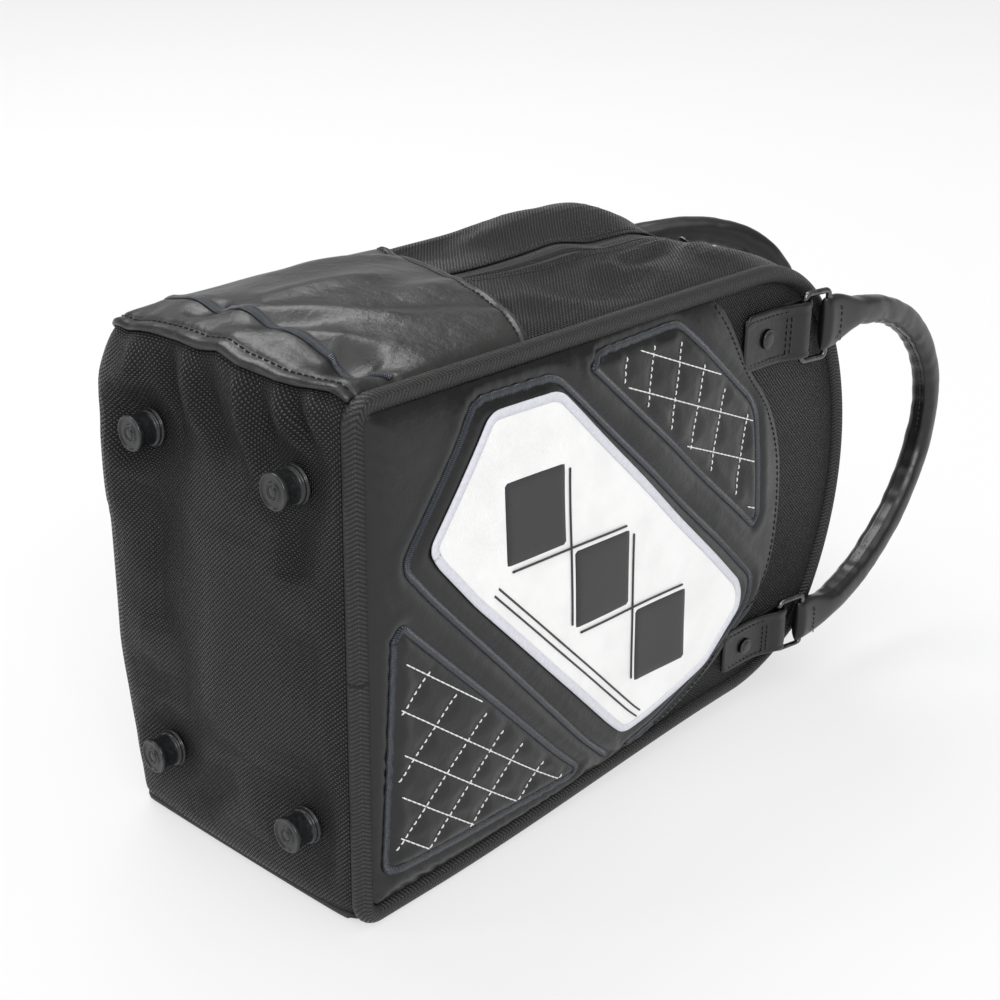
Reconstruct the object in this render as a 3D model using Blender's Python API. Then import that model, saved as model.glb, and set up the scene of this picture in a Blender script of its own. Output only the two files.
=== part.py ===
"""Golf shoe bag, lying on one narrow side.

The bag is drawn in millimetres in its own frame and scaled to metres when meshes are made:
x runs from the base (0) to the crown, y from the front face (0) to the back face, and z from
the floor side (0) to the upper side. The root empty then centres the whole bag over the origin.
"""

from math import cos, pi, radians, sin, sqrt

import bmesh
import bpy
from mathutils import Matrix, Vector

MM = 0.001
GAP = 0.3  # clearance kept between neighbouring pieces

# The bag's body
BAG_LENGTH = 342.0  # base to crown
BAG_WIDTH = 230.0  # floor side to upper side
BAG_DEPTH = 148.0  # front face to back face
MID_Z = BAG_WIDTH / 2
CROWN_R = 150.0
SHOULDER_R = 75.0
BASE_R = 12.0
CROWN_X = BAG_LENGTH - CROWN_R
SHOULDER_Z = BAG_WIDTH - SHOULDER_R
SHOULDER_X = CROWN_X + sqrt((CROWN_R - SHOULDER_R) ** 2 - (SHOULDER_Z - MID_Z) ** 2)
SHOULDER_END = Vector((SHOULDER_X - CROWN_X, SHOULDER_Z - MID_Z)).angle_signed(Vector((1, 0)))

# Wall layers
WALL = 2.4
PANEL = 3.0
WELT_R = 4.25
WELT_Y = 3.6
OVERLAY = 1.5
PATCH = 0.9
BOARD = 2.0
BAND_FRONT = WELT_Y + WELT_R + GAP
BAND_BACK = BAG_DEPTH - PANEL - GAP
PANEL_INSET = 2 * WELT_R + GAP

# Opening front: the line it bends on, and the cuts either side of that line
FLAP_X = 138.0
LEATHER_END = 140.0
PANEL_CUT = 0.2
OVERLAY_CUT = 1.3
PATCH_CUT = 2.0

# Zip
ZIP_Y = 76.0
TAPE_W = 6.0
COIL_W = 2.7
COIL_H = 1.3
TAPE_H = 0.8
COIL_INSET = 0.1
SLIDER_LENGTH = 11.0
SLIDER_LIFT = 0.6
PULL_LENGTH = 18.0
UPPER_SLIDER_DEG = 46.5
CROWN_SLIDER_DEG = 34.6

# Feet
FOOT_Y = 44.0  # half the distance between feet, across the depth
FOOT_Z = 75.0  # half the distance between feet, across the width
FOOT_HEIGHT = 12.4
FOOT_SHANK_R = 3.5
SCREW_R = 1.5

# Tabs, rings and handles
TAB_Z = 80.7  # tab centre from the middle of the bag
TAB_W = 27.0
STRAP = 2.0
BAR_R = 1.5
BAR_LIFT = GAP + STRAP + GAP + BAR_R  # bar centre above the panel
TAB_LENGTH = 34.0
RIVET_BACK = 26.0  # rivet to ring bar
RIVET_R = 1.5
RIVET_HEAD_R = 4.4
RIVET_REACH = 14.0  # longer than a rivet, so that its hole goes right through
RING_W = 33.0
RING_REACH = 16.5
FRONT_BAR_X = 287.5
BACK_BAR_X = 303.0
FRONT_RING_DEG = -10.0
FRONT_HANDLE_DEG = 4.5
BACK_RING_DEG = 20.0
BACK_HANDLE_DEG = -28.0
HANDLE_R = 6.75
HANDLE_LEG = 8.0
HANDLE_ARC = 118.0
HANDLE_END_W = 13.0
HANDLE_END_T = 4.0
FRONT_RISE = 0.03  # sideways lean of each loop, per millimetre of reach
BACK_RISE = 0.30

# Leather-like overlay: its free edge, from the upper welt round to the floor-side welt
OVERLAY_INSET = PANEL_INSET + 0.8
OVERLAY_EDGE = [
    (225, 220.4), (234, 208), (248, 184), (265, 167), (275, 150), (281, 130), (283, 108),
    (282, 87), (278, 70), (269, 58), (248, 47), (237, 37), (225, 28), (203, 15), (192, 9.6),
]
PATCH_OUTLINE = [
    (38, 161), (71, 207), (111, 206), (247, 76), (250, 69), (249, 62), (224, 42), (178, 30),
    (163, 28), (63, 130), (42, 154),
]


def clear_scene():
    for thing in list(bpy.data.objects):
        bpy.data.objects.remove(thing)


def make_material(name, color, roughness, metallic=0.0):
    material = bpy.data.materials.new(name)
    material.use_nodes = True
    shader = material.node_tree.nodes["Principled BSDF"]
    shader.inputs["Base Color"].default_value = (*color, 1.0)
    shader.inputs["Roughness"].default_value = roughness
    shader.inputs["Metallic"].default_value = metallic
    return material


def make_empty(name, place, turn_deg=0.0, parent=None):
    """A body's frame: its origin lies on the body's hinge axis, turned about the bag's z."""
    empty = bpy.data.objects.new(name, None)
    bpy.context.scene.collection.objects.link(empty)
    empty.parent = parent
    empty.location = Vector(place) * MM
    empty.rotation_euler = (0, 0, radians(turn_deg))
    return empty


class Piece:
    """Collects vertices in millimetres and faces, then makes one closed object of them."""

    def __init__(self):
        self.mesh = bmesh.new()

    def prism(self, outline, low, high):
        """A plate: an outline in x and z, from y = low to y = high."""
        near = [self.mesh.verts.new((x, low, z)) for x, z in outline]
        far = [self.mesh.verts.new((x, high, z)) for x, z in outline]
        self.mesh.faces.new(near)
        self.mesh.faces.new(far)
        for i in range(len(outline)):
            j = (i + 1) % len(outline)
            self.mesh.faces.new((near[i], near[j], far[j], far[i]))
        return self

    def band(self, outer, inner, low, high):
        """A wall that follows two open paths in x and z, from y = low to y = high."""
        loops = [
            [self.mesh.verts.new((x, y, z)) for x, z in path]
            for path, y in ((outer, low), (outer, high), (inner, high), (inner, low))
        ]
        for a, b in zip(loops, loops[1:] + loops[:1]):
            for i in range(len(outer) - 1):
                self.mesh.faces.new((a[i], a[i + 1], b[i + 1], b[i]))
        for end in (0, -1):
            self.mesh.faces.new([loop[end] for loop in loops])
        return self

    def sweep(self, path, sides=8, closed=False):
        """A rod along a path of (x, y, z, half width in the x-z plane, half thickness in y)."""
        rings = []
        last = len(path) - 1
        for i, (x, y, z, half_w, half_t) in enumerate(path):
            before = path[i - 1] if i or closed else path[i]
            after = path[(i + 1) % len(path)] if i < last or closed else path[i]
            along = Vector((after[0] - before[0], 0, after[2] - before[2])).normalized()
            across = Vector((-along.z, 0, along.x))
            ring = []
            for k in range(sides):
                turn = 2 * pi * (k + 0.5) / sides
                point = Vector((x, y, z)) + across * half_w * cos(turn)
                ring.append(self.mesh.verts.new(point + Vector((0, half_t * sin(turn), 0))))
            rings.append(ring)
        pairs = list(zip(rings, rings[1:])) + ([(rings[-1], rings[0])] if closed else [])
        for a, b in pairs:
            for k in range(sides):
                m = (k + 1) % sides
                self.mesh.faces.new((a[k], a[m], b[m], b[k]))
        if not closed:
            self.mesh.faces.new(rings[0])
            self.mesh.faces.new(rings[-1])
        return self

    def turned(self, profile, centre, axis="X", sides=24):
        """A turned shape: a closed profile of (distance along the axis, radius) about an axis."""
        turn_to = {"X": Matrix.Identity(3), "Y": Matrix(((0, -1, 0), (1, 0, 0), (0, 0, 1)))}[axis]
        rings = []
        for along, radius in profile:
            ring = []
            for k in range(sides if radius else 1):
                turn = 2 * pi * k / sides
                point = turn_to @ Vector((along, radius * cos(turn), radius * sin(turn)))
                ring.append(self.mesh.verts.new(Vector(centre) + point))
            rings.append(ring)
        hollow = all(radius for _, radius in profile)
        for a, b in zip(rings, rings[1:] + (rings[:1] if hollow else [])):
            for k in range(sides):
                m = (k + 1) % sides
                if len(a) == 1:
                    self.mesh.faces.new((a[0], b[k], b[m]))
                elif len(b) == 1:
                    self.mesh.faces.new((a[k], a[m], b[0]))
                else:
                    self.mesh.faces.new((a[k], a[m], b[m], b[k]))
        return self

    def moved(self, matrix):
        self.mesh.transform(matrix)
        return self

    def finish(self, name, material, body, in_body_frame=False):
        """Makes the object. Points in the bag's frame are brought into the body's own frame."""
        bmesh.ops.recalc_face_normals(self.mesh, faces=self.mesh.faces)
        self.mesh.transform(Matrix.Scale(MM, 4))
        if not in_body_frame:
            bpy.context.view_layer.update()
            self.mesh.transform(body.matrix_world.inverted())
        data = bpy.data.meshes.new(name)
        self.mesh.to_mesh(data)
        self.mesh.free()
        data.shade_smooth()
        data.set_sharp_from_angle(angle=radians(35))
        obj = bpy.data.objects.new(name, data)
        bpy.context.scene.collection.objects.link(obj)
        obj.parent = body
        if material:
            data.materials.append(material)
        else:
            obj.hide_render = True
            obj.display_type = "WIRE"
        return obj


def boolean(obj, other, operation="DIFFERENCE"):
    modifier = obj.modifiers.new(operation.title(), "BOOLEAN")
    modifier.operation = operation
    modifier.object = other
    modifier.solver = "EXACT"


def arc(cx, cz, radius, start, end, steps):
    """Points of an arc in x and z, with angles in radians from +x towards +z."""
    turns = [start + (end - start) * i / steps for i in range(steps + 1)]
    return [(cx + radius * cos(t), cz + radius * sin(t)) for t in turns]


def crown_path(inset, start_x):
    """The open path over the crown, from start_x on the upper side to start_x on the floor side."""
    shoulder = SHOULDER_R - inset
    upper = arc(SHOULDER_X, SHOULDER_Z, shoulder, pi / 2, SHOULDER_END, 8)
    crown = arc(CROWN_X, MID_Z, CROWN_R - inset, SHOULDER_END, -SHOULDER_END, 12)
    lower = arc(SHOULDER_X, SHOULDER_R, shoulder, -SHOULDER_END, -pi / 2, 8)
    return [(start_x, BAG_WIDTH - inset)] + upper + crown[1:-1] + lower + [(start_x, inset)]


def base_path(inset, end_x):
    """The open path round the base, from end_x on the floor side to end_x on the upper side."""
    corner = BASE_R - inset
    floor = arc(BASE_R, BASE_R, corner, -pi / 2, -pi, 5)
    upper = arc(BASE_R, BAG_WIDTH - BASE_R, corner, pi, pi / 2, 5)
    ends = ([(end_x, inset)], [(end_x, BAG_WIDTH - inset)]) if end_x > BASE_R else ([], [])
    return ends[0] + floor + upper + ends[1]


def lower_face(inset, cut):
    return base_path(inset, FLAP_X - cut)


def upper_face(inset, cut):
    return crown_path(inset, FLAP_X + cut)


def overlay_outline():
    """The whole overlay: along the welt, with a free edge of its own towards the crown."""
    return base_path(OVERLAY_INSET, 180.0) + OVERLAY_EDGE


def clipped(outline, limit, keep_low):
    """The part of an outline below (or above) x = limit."""
    kept = []
    sign = 1 if keep_low else -1
    for (x0, z0), (x1, z1) in zip(outline, outline[1:] + outline[:1]):
        if sign * (limit - x0) >= 0:
            kept.append((x0, z0))
        if (limit - x0) * (limit - x1) < 0:
            share = (limit - x0) / (x1 - x0)
            kept.append((limit, z0 + share * (z1 - z0)))
    return kept


def welt(path):
    return [(x, WELT_Y, z, WELT_R, WELT_R) for x, z in path]


def holes(name, centres, radius, low, high, axis, body):
    """A cutter made of one cylinder for each centre."""
    cutter = Piece()
    for centre in centres:
        cutter.turned([(low, 0), (low, radius), (high, radius), (high, 0)], centre, axis, 20)
    return cutter.finish(name, None, body)


def foot_places():
    return [
        (0, BAG_DEPTH / 2 + sy * FOOT_Y, MID_Z + sz * FOOT_Z) for sz in (1, -1) for sy in (1, -1)
    ]


def make_base(root, looks):
    base = Piece().band(
        base_path(0, BASE_R), base_path(WALL, BASE_R), BAND_FRONT, BAND_BACK
    ).finish("base_panel", looks["nylon"], root)
    board_x = WALL + GAP
    board = [(board_x, 14), (board_x + BOARD, 14), (board_x + BOARD, 216), (board_x, 216)]
    stiff = Piece().prism(board, BAND_FRONT + 4, BAND_BACK - 4)
    stiff = stiff.finish("base_board", looks["board"], root)
    cutter = holes("foot_holes", foot_places(), FOOT_SHANK_R + GAP, -1, 6, "X", root)
    boolean(base, cutter)
    boolean(stiff, cutter)
    inside = board_x + BOARD + GAP
    for number, place in enumerate(foot_places(), 1):
        make_foot(number, place, root, looks)
        washer = [(inside, 2.0), (inside + 1.2, 2.0), (inside + 1.2, 6.5), (inside, 6.5)]
        Piece().turned(washer, place, "X", 20).finish(f"foot_washer_{number}", looks["metal"], root)
        head = inside + 1.2 + GAP
        screw = [(-5, 0), (-5, SCREW_R), (head, SCREW_R), (head, 3.5), (head + 1.8, 3.2),
                 (head + 1.8, 0)]
        Piece().turned(screw, place, "X", 16).finish(f"foot_screw_{number}", looks["metal"], root)


def make_foot(number, place, root, looks):
    """A moulded foot: flange, waist, head with a raised ring and a flat button, and a shank."""
    top = -FOOT_HEIGHT
    shank_end = WALL + GAP + BOARD + 0.2
    bore = SCREW_R + 0.2
    profile = [
        (top, 0), (top, 3.0), (top + 0.9, 3.6), (top + 0.9, 5.2), (top, 5.6), (top, 6.9),
        (top + 0.8, 7.6), (top + 6.0, 7.6), (top + 6.6, 6.6), (-2.6, 6.6), (-2.0, 8.4),
        (-GAP, 8.4), (-GAP, FOOT_SHANK_R), (shank_end, FOOT_SHANK_R), (shank_end, bore),
        (-6.0, bore), (-6.0, 0),
    ]
    Piece().turned(profile, place).finish(f"foot_{number}", looks["plastic"], root)


def make_shell(root, flap, looks):
    for name, z in (("side_panel_floor", 0.0), ("side_panel_upper", BAG_WIDTH - WALL)):
        plate = [(BASE_R + GAP, z), (LEATHER_END - GAP, z),
                 (LEATHER_END - GAP, z + WALL), (BASE_R + GAP, z + WALL)]
        Piece().prism(plate, BAND_FRONT, BAND_BACK).finish(name, looks["leather"], root)

    walls = crown_path(0, LEATHER_END), crown_path(WALL, LEATHER_END)
    tape_edges = ZIP_Y - TAPE_W - GAP, ZIP_Y + TAPE_W + GAP
    Piece().band(*walls, BAND_FRONT, tape_edges[0]).finish("gusset_front", looks["nylon"], flap)
    Piece().band(*walls, tape_edges[1], BAND_BACK).finish("gusset_back", looks["nylon"], root)

    back = base_path(0, BASE_R) + crown_path(0, SHOULDER_X)[1:-1]
    back = Piece().prism(back, BAG_DEPTH - PANEL, BAG_DEPTH)
    back = back.finish("back_panel", looks["nylon"], root)
    lower = Piece().prism(lower_face(PANEL_INSET, PANEL_CUT), 0, PANEL)
    lower.finish("front_panel_lower", looks["nylon"], root)
    upper = Piece().prism(upper_face(PANEL_INSET, PANEL_CUT), 0, PANEL)
    upper = upper.finish("front_panel_upper", looks["nylon"], flap)

    Piece().sweep(welt(lower_face(WELT_R, PANEL_CUT))).finish("welt_lower", looks["nylon"], root)
    Piece().sweep(welt(upper_face(WELT_R, PANEL_CUT))).finish("welt_upper", looks["nylon"], flap)
    return upper, back


def make_front_trim(root, flap, looks):
    """The overlay and the patch, each in a lower piece and a piece that swings with the flap."""
    overlay_top = -GAP - OVERLAY
    patch_top = overlay_top - GAP - PATCH
    layers = (
        ("front_overlay", overlay_outline(), overlay_top, -GAP, OVERLAY_CUT, "leather"),
        ("patch", PATCH_OUTLINE, patch_top, patch_top + PATCH, PATCH_CUT, "white"),
    )
    for name, outline, low, high, cut, look in layers:
        for end, limit, keep_low, body in (
            ("lower", FLAP_X - cut, True, root),
            ("upper", FLAP_X + cut, False, flap),
        ):
            piece = Piece().prism(clipped(outline, limit, keep_low), low, high)
            piece.finish(f"{name}_{end}", looks[look], body)


def make_zip(root, flap, looks):
    halves = (("front", ZIP_Y - TAPE_W, ZIP_Y - GAP / 2, flap),
              ("back", ZIP_Y + GAP / 2, ZIP_Y + TAPE_W, root))
    tape_top = COIL_INSET + COIL_H + GAP
    for name, low, high, body in halves:
        tape = crown_path(tape_top, LEATHER_END), crown_path(tape_top + TAPE_H, LEATHER_END)
        Piece().band(*tape, low, high).finish(f"zip_tape_{name}", looks["tape"], body)
        coil_low = high - COIL_W if name == "front" else low
        coil = crown_path(COIL_INSET, LEATHER_END), crown_path(COIL_INSET + COIL_H, LEATHER_END)
        Piece().band(*coil, coil_low, coil_low + COIL_W).finish(
            f"zip_coil_{name}", looks["tape"], body
        )


def make_slider(name, radius, pull_side, body, looks):
    """A slider in its hinge's frame: the track's centre is the origin and x points at it.

    Its plate lies across x at the track's radius, and an arm over the plate holds the pull.
    """
    face = radius + SLIDER_LIFT
    half = SLIDER_LENGTH / 2
    plate = [(face, -half), (face, half), (face + 1.8, half - 0.4), (face + 1.8, 0.4 - half)]
    arm = [
        (1.0, -2.6), (3.0, -2.6), (3.0, 2.4), (2.1, 2.4), (2.1, 3.6), (3.9, 3.6),
        (4.3, 3.0), (4.3, -3.4), (3.9, -4.0), (1.0, -4.0),
    ]
    arm = [(face + x, -pull_side * t) for x, t in arm]
    solid = Piece().prism(plate, ZIP_Y - 4.3, ZIP_Y + 4.3)
    solid = solid.finish(name, looks["metal"], body, in_body_frame=True)
    bridge = Piece().prism(arm, ZIP_Y - 1.2, ZIP_Y + 1.2)
    bridge = bridge.finish(name + "_arm", None, body, in_body_frame=True)
    boolean(solid, bridge, "UNION")


def make_pull(name, side, body, looks):
    """A pull in its hinge's frame: a crossbar at the origin, two rails and a tongue along z."""
    bar, rail_end, tip = 0.4, 5.0, PULL_LENGTH
    outline = [(-3.0, -bar), (3.0, -bar), (3.0, rail_end + 1), (2.6, tip - 2), (1.4, tip),
               (-1.4, tip), (-2.6, tip - 2), (-3.0, rail_end + 1)]
    window = [(-1.6, bar), (1.6, bar), (1.6, rail_end), (-1.6, rail_end)]
    lay_down = Matrix(((0, 1, 0, 0), (1, 0, 0, 0), (0, 0, side, 0), (0, 0, 0, 1)))
    plate = Piece().prism(outline, -bar, bar).moved(lay_down)
    plate = plate.finish(name, looks["metal"], body, in_body_frame=True)
    cutter = Piece().prism(window, -2, 2).moved(lay_down)
    cutter = cutter.finish(name + "_window", None, body, in_body_frame=True)
    boolean(plate, cutter)


def make_sliders(flap, looks):
    """Two sliders meet near the upper shoulder and part along the shoulder and the crown."""
    tracks = (
        ("upper", SHOULDER_X, SHOULDER_Z, SHOULDER_R, UPPER_SLIDER_DEG, 1),
        ("crown", CROWN_X, MID_Z, CROWN_R, CROWN_SLIDER_DEG, -1),
    )
    for name, x, z, radius, turn_deg, side in tracks:
        slider = make_empty(f"{name}_slider_frame", (x - FLAP_X, 0, z), 0, flap)
        slider.rotation_euler = (0, -radians(turn_deg), 0)
        make_slider(f"zip_slider_{name}", radius, side, slider, looks)
        pivot = (radius + SLIDER_LIFT + 2.4, ZIP_Y, 0)
        pull = make_empty(f"{name}_pull_frame", pivot, 0, slider)
        make_pull(f"zip_pull_{name}", side, pull, looks)


def tab_profile():
    """A strap folded round the ring's bar: x along the strap from the bar, y off the panel."""
    inner, outer = BAR_R + GAP, BAR_R + GAP + STRAP
    start = -TAB_LENGTH
    slit = GAP / 2
    low, high = -outer, outer
    fold_out = [(outer * cos(t), outer * sin(t)) for t in (pi / 2 - pi * i / 10 for i in range(11))]
    open_at = -sqrt(inner**2 - slit**2)
    inner_start = pi - 0.084
    fold_in = [
        (inner * cos(t), inner * sin(t))
        for t in (-inner_start + 2 * inner_start * i / 14 for i in range(15))
    ]
    return ([(start, high)] + fold_out + [(start, low), (start, -slit), (open_at - 2.0, -slit)]
            + fold_in + [(open_at - 2.0, slit), (start, slit)])


def make_tab(name, bar_x, outward, z, panel_y, body, looks):
    """One tab with its rivet. The outward side is -1 at the front and 1 at the back."""
    bar_y = panel_y + outward * BAR_LIFT
    outline = [(bar_x + x, bar_y + outward * y) for x, y in tab_profile()]
    solid = Piece().prism(outline, z - TAB_W / 2, z + TAB_W / 2)
    solid.moved(Matrix(((1, 0, 0, 0), (0, 0, 1, 0), (0, 1, 0, 0), (0, 0, 0, 1))))
    solid = solid.finish(name, looks["leather"], body)
    centre = (bar_x - RIVET_BACK, panel_y, z)
    strap_top = BAR_LIFT + BAR_R + GAP + STRAP + GAP
    inside = -PANEL - GAP
    dome = [(strap_top, RIVET_HEAD_R), (strap_top + 1.0, RIVET_HEAD_R - 0.5),
            (strap_top + 1.6, RIVET_HEAD_R - 2.0), (strap_top + 1.8, 0)]
    profile = [(inside - 1.2, 0), (inside - 1.2, 3.8), (inside, 4.0), (inside, RIVET_R),
               (strap_top, RIVET_R)] + dome
    profile = [(outward * along, radius) for along, radius in profile]
    rivet = Piece().turned(profile, centre, "Y", 20)
    rivet.finish(name.replace("tab", "rivet"), looks["rivet"], body)
    cutter = holes(name + "_hole", [centre], RIVET_R + GAP, -RIVET_REACH, RIVET_REACH, "Y", body)
    boolean(solid, cutter)
    return cutter


def ring_path():
    """The ring's wire in x and z, with its inner bar on z and its outer bar at the reach."""
    half, bend = RING_W / 2, 2.5
    corners = ((bend, bend - half, -pi / 2, -pi), (bend, half - bend, pi, pi / 2),
               (RING_REACH - bend, half - bend, pi / 2, 0),
               (RING_REACH - bend, bend - half, 0, -pi / 2))
    path = []
    for x, z, start, end in corners:
        path += arc(x, z, bend, start, end, 4)
    return [(x, 0, z, BAR_R, BAR_R) for x, z in path]


def handle_path(rise):
    """The handle's loop in its own frame: both ends on the ring bars, the reach along x."""
    path = []
    taper = 30.0
    arcs = [i * pi / 2 / 14 for i in range(15)]
    leg = [(-4.0, TAB_Z), (4.0, TAB_Z)]
    half = leg + [(HANDLE_LEG + HANDLE_ARC * sin(t), TAB_Z * cos(t)) for t in arcs]
    loop = half + [(x, -z) for x, z in reversed(half[:-1])]
    for x, z in loop:
        share = min(max(x / taper, 0.0), 1.0)
        share = share * share * (3 - 2 * share)
        wide = HANDLE_END_W + (HANDLE_R - HANDLE_END_W) * share
        thick = HANDLE_END_T + (HANDLE_R - HANDLE_END_T) * share
        path.append((x, 0, z + rise * max(x, 0.0), wide, thick))
    return path


def make_handle(side, bar_x, panel_y, outward, ring_deg, handle_deg, rise, panel, body, looks):
    """Two tabs on the panel, two rings in one swinging body, and the handle on the rings."""
    parent_x = FLAP_X if side == "front" else 0
    bar_y = panel_y + outward * BAR_LIFT
    for end, sign in (("upper", 1), ("floor", -1)):
        z = MID_Z + sign * TAB_Z
        cutter = make_tab(f"{side}_tab_{end}", bar_x, outward, z, panel_y, body, looks)
        boolean(panel, cutter)
    rings = make_empty(f"{side}_rings_frame", (bar_x - parent_x, bar_y, MID_Z), ring_deg, body)
    for end, sign in (("upper", 1), ("floor", -1)):
        path = [(x, y, z + sign * TAB_Z, w, t) for x, y, z, w, t in ring_path()]
        ring = Piece().sweep(path, closed=True)
        ring.finish(f"{side}_ring_{end}", looks["metal"], rings, in_body_frame=True)
    turn = handle_deg - ring_deg
    frame = make_empty(f"{side}_handle_frame", (RING_REACH, 0, 0), turn, rings)
    handle = Piece().sweep(handle_path(rise), sides=12)
    handle = handle.finish(f"{side}_handle", looks["leather"], frame, in_body_frame=True)
    eyes = Piece()
    for sign in (1, -1):
        z = sign * TAB_Z
        span = HANDLE_END_W + 3
        eyes.sweep([(0, 0, z - span, BAR_R + GAP, BAR_R + GAP),
                    (0, 0, z + span, BAR_R + GAP, BAR_R + GAP)], sides=12)
    boolean(handle, eyes.finish(f"{side}_handle_eyes", None, frame, in_body_frame=True))


def centre_over_origin(root):
    """Moves the root so that the bag stands with the middle of its box over the origin."""
    bpy.context.view_layer.update()
    graph = bpy.context.evaluated_depsgraph_get()
    points = []
    for obj in bpy.context.scene.objects:
        if obj.type == "MESH" and not obj.hide_render:
            solid = obj.evaluated_get(graph)
            points += [solid.matrix_world @ vertex.co for vertex in solid.data.vertices]
    for axis in (0, 1):
        low = min(point[axis] for point in points)
        high = max(point[axis] for point in points)
        root.location[axis] = -(low + high) / 2


def main():
    clear_scene()
    looks = {
        "nylon": make_material("nylon", (0.012, 0.012, 0.013), 0.55),
        "leather": make_material("leather", (0.020, 0.020, 0.022), 0.45),
        "white": make_material("white_patch", (0.85, 0.85, 0.84), 0.7),
        "tape": make_material("zip_tape", (0.010, 0.010, 0.010), 0.6),
        "plastic": make_material("foot_plastic", (0.015, 0.015, 0.015), 0.35),
        "board": make_material("board", (0.05, 0.05, 0.05), 0.6),
        "metal": make_material("gunmetal", (0.20, 0.20, 0.21), 0.3, 1.0),
        "rivet": make_material("rivet_cap", (0.03, 0.03, 0.032), 0.4),
    }
    root = make_empty("root_frame", (0, 0, 0))
    flap = make_empty("flap_frame", (FLAP_X, 0, 0), 0, root)
    make_base(root, looks)
    front, back = make_shell(root, flap, looks)
    make_front_trim(root, flap, looks)
    make_zip(root, flap, looks)
    make_sliders(flap, looks)
    make_handle("front", FRONT_BAR_X, 0.0, -1, FRONT_RING_DEG, FRONT_HANDLE_DEG, FRONT_RISE,
                front, flap, looks)
    make_handle("back", BACK_BAR_X, BAG_DEPTH, 1, BACK_RING_DEG, BACK_HANDLE_DEG, BACK_RISE,
                back, root, looks)
    centre_over_origin(root)


main()
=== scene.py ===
from math import cos, pi, radians, sin, sqrt

import bmesh
import bpy
import numpy as np
from mathutils import Matrix, Vector, noise
from mathutils.geometry import delaunay_2d_cdt

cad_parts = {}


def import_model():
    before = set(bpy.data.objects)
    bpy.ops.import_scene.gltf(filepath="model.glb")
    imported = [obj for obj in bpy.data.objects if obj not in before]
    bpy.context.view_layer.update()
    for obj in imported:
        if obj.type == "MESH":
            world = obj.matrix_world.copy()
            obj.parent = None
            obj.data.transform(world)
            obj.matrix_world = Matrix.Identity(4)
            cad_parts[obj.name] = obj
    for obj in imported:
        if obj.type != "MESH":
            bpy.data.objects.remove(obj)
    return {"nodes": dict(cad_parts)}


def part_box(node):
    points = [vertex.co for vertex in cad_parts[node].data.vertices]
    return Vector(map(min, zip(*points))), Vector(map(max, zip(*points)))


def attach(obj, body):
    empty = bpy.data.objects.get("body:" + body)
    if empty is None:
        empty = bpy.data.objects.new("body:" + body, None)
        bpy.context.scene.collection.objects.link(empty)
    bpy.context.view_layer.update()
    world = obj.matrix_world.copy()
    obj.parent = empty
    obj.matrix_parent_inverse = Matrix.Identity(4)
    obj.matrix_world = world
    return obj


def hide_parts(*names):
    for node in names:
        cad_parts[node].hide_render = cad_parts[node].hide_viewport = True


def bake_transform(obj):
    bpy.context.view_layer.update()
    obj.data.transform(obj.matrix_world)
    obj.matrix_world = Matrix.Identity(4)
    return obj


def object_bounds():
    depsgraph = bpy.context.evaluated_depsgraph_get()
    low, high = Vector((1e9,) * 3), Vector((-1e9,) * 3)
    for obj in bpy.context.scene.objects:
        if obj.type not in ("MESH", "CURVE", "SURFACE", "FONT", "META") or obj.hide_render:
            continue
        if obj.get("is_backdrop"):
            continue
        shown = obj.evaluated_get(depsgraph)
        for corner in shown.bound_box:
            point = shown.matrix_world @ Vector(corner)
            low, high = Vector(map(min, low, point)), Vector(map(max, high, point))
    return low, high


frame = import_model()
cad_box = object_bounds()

# Golf shoe bag: the looks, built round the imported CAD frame. Everything is drawn in millimetres in
# the bag's own frame: x from the base to the crown, y from the front face to the back face, z up
# from the floor. ORIGIN brings it into the frame's metres.
MM = 0.001
ORIGIN = np.array([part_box("base_panel")[0].x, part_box("front_panel_lower")[0].y, 0.0])

# Driving sizes, as in the CAD
BAG_LENGTH, BAG_WIDTH, BAG_DEPTH = 342.0, 230.0, 148.0
MID_Z = BAG_WIDTH / 2
CROWN_R, SHOULDER_R, BASE_R = 150.0, 75.0, 12.0
CROWN_X = BAG_LENGTH - CROWN_R
SHOULDER_Z = BAG_WIDTH - SHOULDER_R
SHOULDER_X = CROWN_X + sqrt((CROWN_R - SHOULDER_R) ** 2 - (SHOULDER_Z - MID_Z) ** 2)
SHOULDER_END = np.arctan2(SHOULDER_Z - MID_Z, SHOULDER_X - CROWN_X)
WELT_R, WELT_Y = 4.3, 3.4
ZIP_Y = 76.0
BEND = (140.0, 192.0)  # the front's fabric bends between these two x
TAB_Z = 80.7
BACK_ROUND = 9.0  # rounding of the walls into the back face
FRONT_CLEAR = 10.0  # how far the sewn front edge hangs clear of the floor
FOOT_SPOTS = [(z, y) for z in (40, 190) for y in (30, 118)]

# Outlines on the front face, in x and z
OVERLAY_EDGE = [
    (225, 221), (234, 208), (249, 184), (266, 166), (276, 149), (282, 130), (284, 108),
    (283, 87), (279, 70), (270, 57), (249, 46), (238, 37), (225, 28), (203, 16), (190, 10),
]
PATCH = [(38, 161), (71, 207), (111, 206), (247, 76), (250, 69), (249, 62), (224, 42),
         (178, 30), (163, 28), (63, 130), (42, 154)]
HEX_LINE = [(154.5, 15), (40, 138), (24, 157), (63.5, 214), (111.5, 213), (232, 103),
            (262, 75), (263, 67), (259, 58), (247, 49), (224, 37), (190, 19), (170, 13)]
UPPER_QUILT = [(135.5, 211), (140, 216), (194, 217.5), (252, 169), (257, 160), (260, 138),
               (263, 107), (259, 103)]
LOWER_QUILT = [(19.5, 127), (23.5, 132), (133, 20.5), (131, 16), (14, 23.2), (15, 40)]


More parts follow.
